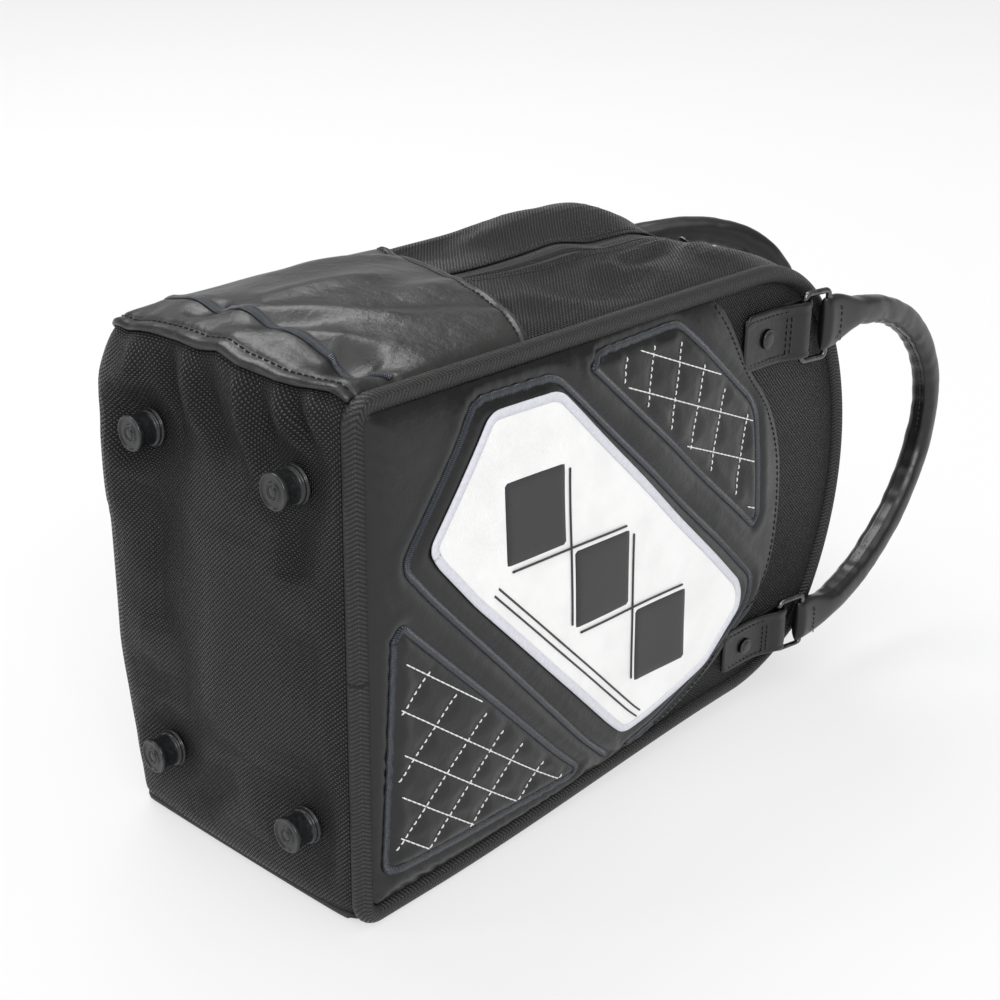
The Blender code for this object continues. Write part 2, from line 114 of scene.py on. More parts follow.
def world(points):
    """From the bag's frame, in mm, to the scene. The sewn front edge hangs clear of the floor."""
    points = np.array(points, float)
    x, y, z = points[..., 0], points[..., 1], points[..., 2]
    clear = FRONT_CLEAR * smooth(x, 40, 270) * (1 - smooth(x, 300, 345))
    points[..., 2] += clear * (1 - smooth(z, 0, 42)) * (1 - smooth(y, 8, 52))
    return ORIGIN + points * MM


def smooth(t, low, high):
    t = np.clip((t - low) / (high - low), 0, 1)
    return t * t * (3 - 2 * t)


# ---------------------------------------------------------------- curves and outlines


def arc(cx, cz, radius, start, end, steps):
    turns = np.linspace(start, end, steps + 1)
    return np.stack([cx + radius * np.cos(turns), cz + radius * np.sin(turns)], 1)


def tombstone(inset=0.0):
    """The bag's closed outline, run clockwise from the middle of the base."""
    corner, shoulder = BASE_R - inset, SHOULDER_R - inset
    crown = CROWN_R - inset
    if corner < 1.0:
        corner = 1.0
    low = inset + corner
    return np.concatenate([
        [(inset, MID_Z)],
        arc(low, BAG_WIDTH - low, corner, pi, pi / 2, 10),
        arc(SHOULDER_X, SHOULDER_Z, shoulder, pi / 2, SHOULDER_END, 24),
        arc(CROWN_X, MID_Z, crown, SHOULDER_END, -SHOULDER_END, 40)[1:-1],
        arc(SHOULDER_X, SHOULDER_R, shoulder, -SHOULDER_END, -pi / 2, 24),
        arc(low, low, corner, -pi / 2, -pi, 10),
    ])


def travel(points):
    """Distance along a line at each of its points."""
    return np.concatenate([[0], np.cumsum(np.linalg.norm(np.diff(points, axis=0), axis=1))])


def circle(count):
    """Angles evenly round a full turn."""
    return 2 * pi * np.arange(count) / count


def resample(points, step, closed=False):
    """Points at even steps along a line."""
    points = np.asarray(points, float)
    if closed:
        points = np.vstack([points, points[:1]])
    along = travel(points)
    count = max(2, int(round(along[-1] / step)))
    marks = np.linspace(0, along[-1], count + 1)
    if closed:
        marks = marks[:-1]
    return np.stack([np.interp(marks, along, points[:, k]) for k in range(points.shape[1])], 1)


def rounded(points, radius, closed=False):
    """A line with each corner turned into a small arc."""
    points = [np.asarray(p, float) for p in points]
    count = len(points)
    result = []
    for i, here in enumerate(points):
        if not closed and i in (0, count - 1):
            result.append(here)
            continue
        before, after = points[i - 1], points[(i + 1) % count]
        a, b = before - here, after - here
        cut = min(radius, np.linalg.norm(a) * 0.45, np.linalg.norm(b) * 0.45)
        start = here + a / np.linalg.norm(a) * cut
        end = here + b / np.linalg.norm(b) * cut
        for t in np.linspace(0, 1, 6):
            result.append((1 - t) ** 2 * start + 2 * t * (1 - t) * here + t * t * end)
    return np.array(result)


def line_distance(points, line, closed=False):
    """Distance from each point to a line."""
    points, line = np.asarray(points, float), np.asarray(line, float)
    starts = line if closed else line[:-1]
    ends = np.roll(line, -1, 0) if closed else line[1:]
    best = np.full(len(points), 1e9)
    for a, b in zip(starts, ends):
        d = b - a
        share = np.clip(((points - a) @ d) / (d @ d), 0, 1)
        best = np.minimum(best, np.linalg.norm(points - a - share[:, None] * d, axis=1))
    return best


def inside(points, outline):
    """Whether each point lies within a closed outline."""
    x, z = points[:, 0], points[:, 1]
    odd = np.zeros(len(points), bool)
    for (x0, z0), (x1, z1) in zip(outline, np.roll(outline, -1, 0)):
        if z0 == z1:
            continue
        crosses = (z0 > z) != (z1 > z)
        odd ^= crosses & (x < x0 + (z - z0) / (z1 - z0) * (x1 - x0))
    return odd


def noise_at(points, scale, seed=0.0):
    """Smooth noise of about +-1 at each point, with features about as long as the scale."""
    shift = Vector((seed, seed * 1.7, seed * 0.3))
    return np.array([noise.noise(Vector(p) / scale + shift) for p in np.asarray(points, float)])


# ---------------------------------------------------------------- meshes


def boundary_loops(faces):
    """Each open edge loop, in the direction in which its faces run."""
    edges = {(a, b) for f in faces for a, b in zip(f, f[1:] + f[:1])}
    following = {a: b for a, b in edges if (b, a) not in edges}
    loops = []
    while following:
        start, here = next(iter(following.items()))
        del following[start]
        loop = [start]
        while here != start:
            loop.append(here)
            here = following.pop(here)
        loops.append(loop)
    return sorted(loops, key=min)


def vertex_normals(points, faces):
    normals = np.zeros_like(points)
    triangles = np.array([t for f in faces for t in ((f[0], f[i], f[i + 1]) for i in range(1, len(f) - 1))])
    a, b, c = (points[triangles[:, k]] for k in range(3))
    cross = np.cross(b - a, c - a)
    for k in range(3):
        np.add.at(normals, triangles[:, k], cross)
    return normals / np.maximum(np.linalg.norm(normals, axis=1), 1e-12)[:, None]


def thicken(points, faces, thickness, cloth, rim=0.4):
    """Closes a sheet: a second skin behind it and a rounded rim between the two."""
    normals = vertex_normals(points, faces)
    count = len(points)
    inner = points - normals * np.asarray(thickness).reshape(-1, 1)
    skins = [points, inner]
    cloths = [cloth, cloth]
    closed = list(faces) + [tuple(v + count for v in reversed(f)) for f in faces]
    base = 2 * count
    for loop in boundary_loops(faces):
        edge = points[loop]
        along = np.roll(edge, -1, 0) - np.roll(edge, 1, 0)
        out = np.cross(along, normals[loop])
        out /= np.maximum(np.linalg.norm(out, axis=1), 1e-9)[:, None]
        depth = np.linalg.norm(edge - inner[loop], axis=1)[:, None]
        skins.append((edge + inner[loop]) / 2 + out * depth * rim)
        cloths.append(cloth[loop])
        for k, a in enumerate(loop):
            m = (k + 1) % len(loop)
            b = loop[m]
            closed.append((b, a, base + k, base + m))
            closed.append((base + m, base + k, a + count, b + count))
        base += len(loop)
    return np.concatenate(skins), closed, np.concatenate(cloths)


def lined_sheet(points, faces, cloth, thickness, rim=0.4):
    """A closed sheet and, for each of its faces, 1 on the lining's side and 0 elsewhere."""
    skin = len(faces)
    points, faces, cloth = thicken(points, faces, thickness, cloth, rim)
    return points, faces, cloth, [0] * skin + [1] * skin + [0] * (len(faces) - 2 * skin)


def make_object(name, points, faces, cloth, materials, face_materials=None):
    data = bpy.data.meshes.new(name)
    data.from_pydata(world(points).tolist(), [], [tuple(int(v) for v in f) for f in faces])
    if cloth is not None:
        attribute = data.attributes.new("cloth", "FLOAT_VECTOR", "POINT")
        attribute.data.foreach_set("vector", np.asarray(cloth, np.float32).ravel())
    for material in materials if isinstance(materials, (list, tuple)) else [materials]:
        data.materials.append(material)
    if face_materials is not None:
        data.polygons.foreach_set("material_index", np.asarray(face_materials, np.int32))
    data.shade_smooth()
    data.update()
    obj = bpy.data.objects.new(name, data)
    bpy.context.scene.collection.objects.link(obj)
    return obj


def grid_faces(rows, columns):
    """Quads of a grid of points, numbered row by row."""
    return [
        (i * columns + j, i * columns + j + 1, (i + 1) * columns + j + 1, (i + 1) * columns + j)
        for i in range(rows - 1) for j in range(columns - 1)
    ]


def tube_faces(rings, sides, closed=False):
    """Quads round a tube of rings, and its two end caps unless it is closed on itself."""
    faces = []
    for i in range(rings if closed else rings - 1):
        for k in range(sides):
            m = (k + 1) % sides
            here, following = i * sides, (i + 1) % rings * sides
            faces.append((here + k, here + m, following + m, following + k))
    if not closed:
        faces.append(tuple(reversed(range(sides))))
        faces.append(tuple(range((rings - 1) * sides, rings * sides)))
    return faces


def flat(vectors):
    """Vectors in a plane with a third coordinate of nought."""
    vectors = np.asarray(vectors, float)
    return np.hstack([vectors, np.zeros((len(vectors), 1))])


def fill_outline(outline, spacing, rings=(0.35, 0.9, 1.7)):
    """Triangles over an outline in x and z, closer together at the edge. They face -y."""
    edge = resample(outline, spacing, closed=True)
    area = np.sum(edge[:, 0] * np.roll(edge[:, 1], -1) - np.roll(edge[:, 0], -1) * edge[:, 1])
    if area < 0:
        edge = edge[::-1]
    along = np.roll(edge, -1, 0) - np.roll(edge, 1, 0)
    inward = np.stack([-along[:, 1], along[:, 0]], 1)
    inward /= np.linalg.norm(inward, axis=1)[:, None]
    points = [edge] + [edge + inward * ring for ring in rings]
    low, high = edge.min(0), edge.max(0)
    row_step = spacing * sqrt(3) / 2
    rows = np.arange(low[1], high[1], row_step)
    lattice = []
    for k, z in enumerate(rows):
        x = np.arange(low[0] + (k % 2) * spacing / 2, high[0], spacing)
        lattice.append(np.stack([x, np.full_like(x, z)], 1))
    lattice = np.concatenate(lattice)
    lattice = lattice[inside(lattice, edge)]
    clear = line_distance(lattice, edge, closed=True) > (rings[-1] if rings else 0) + spacing * 0.5
    points.append(lattice[clear])
    points = np.concatenate(points)
    count = len(edge)
    result = delaunay_2d_cdt(
        [Vector(p) for p in points], [(i, (i + 1) % count) for i in range(count)], [], 2, 1e-5
    )
    vertices = np.array([tuple(v) for v in result[0]])
    faces = []
    for face in result[2]:
        a, b, c = (vertices[v] for v in face[:3])
        if (b[0] - a[0]) * (c[1] - a[1]) - (b[1] - a[1]) * (c[0] - a[0]) > 0:
            faces.append(tuple(face))
        else:
            faces.append(tuple(reversed(face)))
    centres = np.array([vertices[list(f)].mean(0) for f in faces])
    keep = inside(centres, edge)
    faces = [f for f, k in zip(faces, keep) if k]
    used = np.unique(np.array(faces))
    renumber = {old: new for new, old in enumerate(used)}
    return vertices[used], [tuple(renumber[v] for v in f) for f in faces]


def sweep(path, ups, half_w, half_h, sides=8, closed=False, profile=None):
    """A rod along a path. ups points out of the surface; half sizes may change along the path."""
    path, ups = np.asarray(path, float), np.asarray(ups, float)
    count = len(path)
    if closed:
        along = np.roll(path, -1, 0) - np.roll(path, 1, 0)
    else:
        along = np.gradient(path, axis=0)
    along /= np.linalg.norm(along, axis=1)[:, None]
    side = np.cross(along, ups)
    side /= np.linalg.norm(side, axis=1)[:, None]
    up = np.cross(side, along)
    half_w = np.broadcast_to(half_w, count)[:, None]
    half_h = np.broadcast_to(half_h, count)[:, None]
    turns = 2 * pi * (np.arange(sides) + 0.5) / sides
    shape = profile if profile is not None else np.stack([np.cos(turns), np.sin(turns)], 1)
    rings = [path + side * half_w * a + up * half_h * b for a, b in shape]
    sides = len(shape)
    points = np.stack(rings, 1).reshape(-1, 3)
    travelled = travel(path)
    girth = float(np.mean(half_w + half_h)) * pi
    cloth = np.stack([
        np.repeat(travelled, sides), np.tile(np.arange(sides) / sides * girth, count),
        np.zeros(count * sides)], 1)
    return points, tube_faces(count, sides, closed), cloth


def joined(parts):
    """Several (points, faces, cloth) as one."""
    points, faces, cloth = [], [], []
    base = 0
    for p, f, c in parts:
        points.append(p)
        cloth.append(c)
        faces += [tuple(v + base for v in face) for face in f]
        base += len(p)
    return np.concatenate(points), faces, np.concatenate(cloth)


def turned(profile, centre, direction, sides=48):
    """A turned shape about a direction; the profile is (distance along it, radius)."""
    direction = np.asarray(direction, float)
    a = np.cross(direction, (0.0, 0.0, 1.0) if abs(direction[2]) < 0.9 else (1.0, 0.0, 0.0))
    a /= np.linalg.norm(a)
    b = np.cross(direction, a)
    points = []
    for along, radius in profile:
        for t in circle(sides):
            points.append(np.asarray(centre) + direction * along
                          + max(radius, 0.01) * (a * cos(t) + b * sin(t)))
    points = np.array(points)
    return points, tube_faces(len(profile), sides), np.zeros_like(points)


def stitches(path, ups, length, gap, radius, lift):
    """Short threads laid along a path, each dipping into the cloth at its ends."""
    parts = []
    pitch = length + gap
    path, ups = np.asarray(path, float), np.asarray(ups, float)
    along = travel(path)
    count = int((along[-1] - gap) / pitch)
    for k in range(count):
        marks = gap / 2 + k * pitch + np.linspace(0, length, 6)
        points = np.stack([np.interp(marks, along, path[:, c]) for c in range(3)], 1)
        up = np.stack([np.interp(marks, along, ups[:, c]) for c in range(3)], 1)
        bow = np.array([-0.6, 0.55, 1.0, 1.0, 0.55, -0.6])[:, None]
        taper = np.array([0.55, 0.95, 1.0, 1.0, 0.95, 0.55])
        parts.append(sweep(points + up * (lift * bow), up, radius * taper, radius * taper, 6))
    return joined(parts) if parts else None


# ---------------------------------------------------------------- the bag's walls

OUTLINE = resample(tombstone(), 0.5, closed=True)
RING = np.vstack([OUTLINE, OUTLINE[:1]])
ALONG = travel(RING)
GIRTH = ALONG[-1]
SIDE_S = MID_Z - BASE_R + BASE_R * pi / 2 - BASE_R  # s less x, along the upper side


def outline_at(s):
    """x and z on the outline, s round it from the middle of the base."""
    s = np.mod(s, GIRTH)
    return np.stack([np.interp(s, ALONG, RING[:, 0]), np.interp(s, ALONG, RING[:, 1])], -1)


def outward_at(s):
    along = outline_at(s + 1.5) - outline_at(s - 1.5)
    out = np.stack([-along[..., 1], along[..., 0]], -1)
    return out / np.linalg.norm(out, axis=-1)[..., None]


def bell(t, centre, width):
    """One at the centre, falling to nought either side of it."""
    return np.exp(-(((t - centre) / width) ** 2))


def folds(a, b, lines):
    """Soft ridges (or valleys) along short lines: (a0, b0, a1, b1, height, width)."""
    total = np.zeros_like(a)
    for a0, b0, a1, b1, height, width in lines:
        da, db = a1 - a0, b1 - b0
        share = ((a - a0) * da + (b - b0) * db) / (da * da + db * db)
        held = np.clip(share, 0, 1)
        far = np.hypot(a - a0 - held * da, b - b0 - held * db)
        total += height * np.exp(-((far / width) ** 2)) * (0.35 + 0.65 * np.sin(pi * held) ** 0.5)
    return total


# Ridges and hollows of the cloth: on the base in y and z, on the upper side in x and y, and how
# much each set is raised
BASE_RAISED, UPPER_RAISED = 1.5, 1.3
BASE_FOLDS = [
    (60, 226, 50, 186, 2.6, 4.0), (40, 226, 24, 196, 2.4, 3.6), (22, 227, 12, 206, 2.0, 3.4),
    (50, 226, 37, 190, -2.4, 3.6), (31, 226, 17, 198, -2.2, 3.4), (80, 222, 68, 192, -3.0, 7.0),
    (92, 226, 84, 200, 1.8, 5.0), (106, 226, 98, 190, -3.0, 6.5), (124, 226, 128, 190, 2.2, 6.0),
    (136, 210, 140, 150, 2.0, 7.0), (118, 178, 116, 100, -1.6, 12.0), (70, 160, 78, 60, 1.8, 22.0),
    (30, 178, 30, 150, -2.0, 7.0), (30, 60, 22, 20, -1.6, 9.0), (128, 60, 136, 22, 1.8, 8.0),
    (74, 46, 100, 20, -1.6, 8.0), (12, 150, 12, 60, 1.0, 8.0),
]
UPPER_FOLDS = [
    (24, 90, 66, 42, 2.0, 5.0), (40, 96, 96, 84, 1.8, 8.0), (30, 50, 42, 28, 1.6, 5.0),
    (22, 34, 30, 18, -6.0, 13.0), (16, 112, 30, 100, -3.0, 8.0), (20, 76, 40, 56, -2.2, 6.0),
    (60, 60, 120, 30, -1.6, 9.0), (70, 128, 140, 118, 1.6, 11.0), (95, 60, 128, 66, 1.2, 8.0),
    (215, 44, 246, 50, -1.6, 6.0), (222, 56, 262, 60, 1.5, 4.0), (250, 40, 280, 44, 1.2, 5.0),
]
EDGE_WAVE = ([0, 6, 12, 28, 40, 60, 72, 85, 95, 115, 132, 150],
             [0, 1, 2, -1, -2.5, -2.5, 0.8, -1.6, -1.2, -1.2, -2.0, 0])


def relief(place, out, v):
    """How far the filled cloth stands off its pattern, by where it is on the bag."""
    x, z = place[..., 0], place[..., 1]
    base = smooth(-out[..., 0], 0.35, 0.95)
    upper = smooth(out[..., 1], 0.2, 0.9)
    crown = smooth(out[..., 0], 0.0, 0.7)
    full = np.sin(pi * np.clip((v - 6) / 146, 0, 1)) ** 0.7
    rise = upper * (4.0 + 3.5 * bell(x, 235, 50) + 2.5 * bell(x, 90, 45)) * full
    rise += upper * bell(x, 240, 45) * 3.0 * bell(v, 112, 24)
    rise += crown * 2.0 * full
    shoulder = bell(x, 306, 24) * smooth(z, 150, 190)
    rise -= 9.0 * shoulder * smooth(v, 10, 34) * (1 - smooth(v, 88, 122))
    rise += 0.8 * upper * bell(x, 285, 34) * smooth(v, 86, 124)
    rise += base * 2.2 * full
    rise += base * 6.0 * smooth(v, 96, 140) * smooth(z, 10, 90) * (1 - smooth(z, 205, 230))
    rise *= 1 - 0.92 * bell(v, ZIP_Y, 15) * smooth(x, 200, 236)
    rise *= 1 - 0.7 * upper * smooth(x, 130, 185) * (1 - smooth(v, 62, 82))
    inner = smooth(v, 8, 22) * (1 - smooth(v, 140, 152))
    rise += BASE_RAISED * base * folds(v, z, BASE_FOLDS) * inner
    rise += UPPER_RAISED * upper * folds(x, v, UPPER_FOLDS) * smooth(v, 6, 14)
    for z_foot, v_foot in FOOT_SPOTS:
        far = np.hypot(z - z_foot, v - v_foot)
        rise = np.where(base > 0.5, rise * smooth(far, 9, 26) - 0.9 * bell(far, 9.5, 5), rise)
    return rise


SHIFT = {"steps": None}  # the cloth simulation's result, on an even grid of s and v


def cloth_shift(s, v):
    """How far the settling moved the cloth at s and v."""
    if SHIFT["steps"] is None:
        return np.zeros(np.shape(s) + (3,))
    grid, s_step, v_low, v_step = SHIFT["steps"]
    rows, columns = grid.shape[:2]
    a = np.mod(s, GIRTH) / s_step
    b = np.clip((v - v_low) / v_step, 0, columns - 1.001)
    a0, b0 = np.floor(a).astype(int), np.floor(b).astype(int)
    fa, fb = (a - a0), (b - b0)
    fa, fb = (fa * fa * (3 - 2 * fa))[..., None], (fb * fb * (3 - 2 * fb))[..., None]
    a0, a1 = a0 % rows, (a0 + 1) % rows
    b1 = np.minimum(b0 + 1, columns - 1)
    low = grid[a0, b0] * (1 - fa) + grid[a1, b0] * fa
    high = grid[a0, b1] * (1 - fa) + grid[a1, b1] * fa
    return low * (1 - fb) + high * fb


ROUND_V = BAG_DEPTH - BACK_ROUND
BACK_V = ROUND_V + BACK_ROUND * pi / 2  # v where the wall has turned into the back face


def wall(s, v, lift=0.0):
    """Points on the wall: s round the outline from mid base, v from the front edge to the back."""
    s, v = np.broadcast_arrays(np.asarray(s, float), np.asarray(v, float))
    place, out = outline_at(s), outward_at(s)
    turn = np.clip((v - ROUND_V) / BACK_ROUND, 0, pi / 2)
    height = relief(place, out, v) - 2.8 * np.exp(-(v - 5.5) / 3.5) + lift
    inset = BACK_ROUND * (1 - np.cos(turn))
    y = np.where(v < ROUND_V, v, ROUND_V + BACK_ROUND * np.sin(turn))
    corner = upper_corner(place, out)
    wave = np.interp(v, *EDGE_WAVE) * corner
    sideways = height * np.cos(turn) - inset
    points = np.stack([
        place[..., 0] + out[..., 0] * sideways, y + height * np.sin(turn),
        place[..., 1] + out[..., 1] * sideways + wave], -1)
    points += cloth_shift(s, v)
    points[..., 2] = np.maximum(points[..., 2], 0.35 + np.maximum(lift, 0))
    return points


def upper_corner(place, out):
    """One at the upper corner by the base, falling to nought on the faces either side of it."""
    return bell(place[..., 0], 2, 16) * smooth(place[..., 1], 190, 222)


def wall_sheet(name, s, v, lift, thickness, body, materials, rim=0.45):
    """A sheet of cloth on the wall, from grids of s and v with a row for each v."""
    s, v = np.broadcast_arrays(s, v)
    points = wall(s, v, lift).reshape(-1, 3)
    cloth = np.stack([s, v, np.zeros_like(s)], -1).reshape(-1, 3)
    *sheet, lining = lined_sheet(points, grid_faces(*s.shape), cloth, thickness, rim)
    return finish_piece(name, *sheet, materials, body, face_materials=lining)


def wall_ups(s, v):
    """Which way is out, along a line on the wall."""
    d = 0.6
    along = wall(s + d, v) - wall(s - d, v)
    across = wall(s, v + d) - wall(s, v - d)
    up = np.cross(along, across)
    return up / np.linalg.norm(up, axis=-1)[..., None]


def upper_s(x):
    return SIDE_S + x


def floor_s(x):
    return GIRTH - SIDE_S - x


def finish_piece(name, points, faces, cloth, materials, body, slot=None, nodes=(),
                 face_materials=None, bend=False):
    """Makes one object; it rides on a body, or, with bend set, is left on no body with its transform baked
    in.
    """
    obj = make_object(name, points, faces, cloth, materials, face_materials)
    if bend:
        start, end = world([(BEND[0], 0, MID_Z), (BEND[1], 0, MID_Z)])
        tuple(start)
        tuple(end)
        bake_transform(obj)
    else:
        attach(obj, body)
    if nodes:
        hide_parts(*nodes)
    return obj


# ---------------------------------------------------------------- materials


class Look:
    """A procedural material. Its lengths are millimetres on the cloth."""

    def __init__(self, name, roughness, metallic=0.0, on_cloth=True):
        self.material = bpy.data.materials.new(name)
        self.material.use_nodes = True
        self.nodes = self.material.node_tree.nodes
        self.links = self.material.node_tree.links
        self.shader = self.nodes["Principled BSDF"]
        self.shader.inputs["Roughness"].default_value = roughness
        self.shader.inputs["Metallic"].default_value = metallic
        self.normal = None
        if on_cloth:
            place = self.nodes.new("ShaderNodeAttribute")
            place.attribute_name = "cloth"
            self.place = place.outputs["Vector"]
        else:
            place = self.nodes.new("ShaderNodeTexCoord")
            scaled = self.nodes.new("ShaderNodeVectorMath")
            scaled.operation = "SCALE"
            scaled.inputs["Scale"].default_value = 1000.0
            self.links.new(place.outputs["Object"], scaled.inputs[0])
            self.place = scaled.outputs["Vector"]
        split = self.nodes.new("ShaderNodeSeparateXYZ")
        self.links.new(self.place, split.inputs[0])
        self.u, self.v = split.outputs[:2]

    def wire(self, value, socket):
        if isinstance(value, bpy.types.NodeSocket):
            self.links.new(value, socket)
        else:
            socket.default_value = value

    def math(self, operation, *values):
        node = self.nodes.new("ShaderNodeMath")
        node.operation = operation
        for value, socket in zip(values, node.inputs):
            self.wire(value, socket)
        return node.outputs[0]

    def noise(self, scale, detail=3.0, roughness=0.55, place=None):
        """Noise from 0 to 1, with features about as long as the scale."""
        node = self.nodes.new("ShaderNodeTexNoise")
        self.links.new(place or self.place, node.inputs["Vector"])
        node.inputs["Scale"].default_value = 1.0 / scale
        node.inputs["Detail"].default_value = detail
        node.inputs["Roughness"].default_value = roughness
        return node.outputs["Fac"]

    def cells(self, scale):
        node = self.nodes.new("ShaderNodeTexVoronoi")
        node.feature = "DISTANCE_TO_EDGE"
        self.links.new(self.place, node.inputs["Vector"])
        node.inputs["Scale"].default_value = 1.0 / scale
        return node.outputs["Distance"]

    def ramp(self, value, low, high, to_low, to_high):
        node = self.nodes.new("ShaderNodeMapRange")
        node.interpolation_type = "SMOOTHSTEP"
        self.wire(value, node.inputs["Value"])
        for name, number in (("From Min", low), ("From Max", high), ("To Min", to_low), ("To Max", to_high)):
            node.inputs[name].default_value = number
        return node.outputs[0]

    def mix_color(self, share, a, b):
        node = self.nodes.new("ShaderNodeMix")
        node.data_type = "RGBA"
        self.wire(share, node.inputs["Factor"])
        inputs = [i for i in node.inputs if i.type == "RGBA"]
        for value, socket in zip((a, b), inputs):
            self.wire(value if isinstance(value, bpy.types.NodeSocket) else (*value, 1.0), socket)
        return [o for o in node.outputs if o.type == "RGBA"][0]

    def bump(self, height, depth, strength=1.0):
        """Relief of a depth in millimetres, on top of any earlier one."""
        node = self.nodes.new("ShaderNodeBump")
        node.inputs["Strength"].default_value = strength
        node.inputs["Distance"].default_value = depth * MM
        self.wire(height, node.inputs["Height"])
        if self.normal:
            self.links.new(self.normal, node.inputs["Normal"])
        self.normal = node.outputs["Normal"]
        return self

    def finish(self, color, roughness=None, **constants):
        if isinstance(color, bpy.types.NodeSocket):
            self.links.new(color, self.shader.inputs["Base Color"])
        else:
            self.shader.inputs["Base Color"].default_value = (*color, 1.0)
        if roughness is not None:
            self.links.new(roughness, self.shader.inputs["Roughness"])
        if self.normal:
            self.links.new(self.normal, self.shader.inputs["Normal"])
        for name, value in constants.items():
            self.shader.inputs[name.replace("_", " ")].default_value = value
        return self.material

    def weave(self, pitch_u, pitch_v, skew=0.0):
        """A plain weave: over-and-under yarns, each one a rounded float. Returns (height, which)."""
        u = self.math("DIVIDE", self.u, pitch_u)
        v = self.math("DIVIDE", self.v, pitch_v)
        if skew:
            u, v = self.math("ADD", u, self.math("MULTIPLY", v, skew)), v
        cu, cv = self.math("FLOOR", u), self.math("FLOOR", v)
        fu = self.math("SUBTRACT", self.math("SUBTRACT", u, cu), 0.5)
        fv = self.math("SUBTRACT", self.math("SUBTRACT", v, cv), 0.5)
        which = self.math("PINGPONG", self.math("ADD", cu, cv), 1.0)

        def yarn(across, along):
            round_ = self.math("COSINE", self.math("MULTIPLY", across, pi * 0.92))
            arch = self.math("COSINE", self.math("MULTIPLY", along, pi * 0.86))
            return self.math("MULTIPLY", self.math("POWER", self.math("MAXIMUM", round_, 0.0), 0.6),
                             self.math("ADD", 0.42, self.math("MULTIPLY", arch, 0.58)))

        warp, weft = yarn(fu, fv), yarn(fv, fu)
        kept = self.math("MULTIPLY", warp, which)
        other = self.math("MULTIPLY", weft, self.math("SUBTRACT", 1.0, which))
        return self.math("ADD", kept, other), which


def nylon_look():
    """Thick yarns in a plain weave. The warp is coloured bright as a painted glint and the weft dull and
    dark; each yarn's colour darkens towards its edges and the gaps as painted shade.
    """
    look = Look("nylon_weave", 0.4)
    height, which = look.weave(1.0, 1.0)
    look.bump(look.noise(24, 3), 1.4, 0.8)
    look.bump(height, 0.85)
    # Painted glint: the warp yarns get a far brighter colour than the weft.
    painted_glint_color = look.mix_color(which, (0.0010, 0.0010, 0.0010), (0.042, 0.041, 0.040))
    patchy = look.ramp(look.noise(30, 2), 0.3, 0.7, 0.75, 1.1)
    # Painted shade: the colour darkens with the yarn's height, into the gaps between yarns; patchy adds
    # random tone.
    shade = look.math("MULTIPLY", look.math("POWER", height, 2.0), patchy)
    color = look.mix_color(shade, (0.0004, 0.0004, 0.0004), painted_glint_color)
    rough = look.ramp(which, 0.0, 1.0, 0.75, 0.24)
    return look.finish(color, rough, Specular_IOR_Level=0.36)


def rib_look():
    """The welt's cloth: slanting ribs that turn back on themselves, as in a herringbone."""
    look = Look("welt_ribs", 0.4)
    across = look.math("PINGPONG", look.math("DIVIDE", look.v, 4.6), 1.0)
    slope = look.math("ADD", look.math("DIVIDE", look.u, 1.9), look.math("MULTIPLY", across, 1.6))
    ribs = look.math("ABSOLUTE", look.math("SINE", look.math("MULTIPLY", slope, pi)))
    height, _ = look.weave(0.8, 0.8)
    look.bump(ribs, 0.5)
    look.bump(height, 0.2)
    # Painted shade and highlight: the colour is dark in the ribs' valleys and the weave's gaps and bright on
    # their crests.
    shade = look.math("MULTIPLY", ribs, look.math("ADD", 0.45, look.math("MULTIPLY", height, 0.55)))
    color = look.mix_color(shade, (0.0004, 0.0004, 0.0004), (0.022, 0.0215, 0.021))
    return look.finish(color, look.ramp(ribs, 0.2, 1.0, 0.65, 0.34))


def leather_look(name, tone, rough_low, rough_high, grain=1.0):
    """Smooth coated leather: fine pebbles, pores and slow changes of tone and gloss."""
    look = Look(name, 0.45)
    pebble = look.ramp(look.cells(0.85), 0.0, 0.28, 0.0, 1.0)
    look.bump(look.noise(30, 3, 0.5), 1.5 * grain, 0.8)
    look.bump(look.noise(9, 4, 0.6), 0.8 * grain, 0.8)
    look.bump(pebble, 0.035 * grain, 0.8)
    look.bump(look.noise(0.5, 2), 0.05 * grain, 0.8)
    slow = look.noise(38, 4, 0.6)
    fine = look.noise(3.5, 3)
    mixed = look.math("ADD", look.math("MULTIPLY", slow, 0.75), look.math("MULTIPLY", fine, 0.25))
    low, high = tuple(0.72 * c for c in tone), tuple(1.3 * c for c in tone)
    color = look.mix_color(look.ramp(mixed, 0.32, 0.68, 0.0, 1.0), low, high)
    rough = look.ramp(mixed, 0.3, 0.7, rough_low, rough_high)
    return look.finish(color, rough, Specular_IOR_Level=0.5)


def thread_look(name, color_low, color_high, pitch, depth, roughness=0.35, slant=0.35):
    """Satin stitch: fine threads laid side by side across the line."""
    look = Look(name, roughness)
    along = look.math("ADD", look.math("DIVIDE", look.u, pitch), look.math("MULTIPLY", look.v, slant))
    threads = look.math("ABSOLUTE", look.math("SINE", look.math("MULTIPLY", along, pi)))
    look.bump(threads, depth)
    uneven = look.noise(1.6, 3)
    # Painted shade and highlight: the colour runs from dark between the threads to bright on their crests,
    # with uneven random tone on top.
    shade = look.math("MULTIPLY", threads, look.ramp(uneven, 0.2, 0.8, 0.5, 1.0))
    color = look.mix_color(shade, color_low, color_high)
    return look.finish(color, Sheen_Weight=0.1)


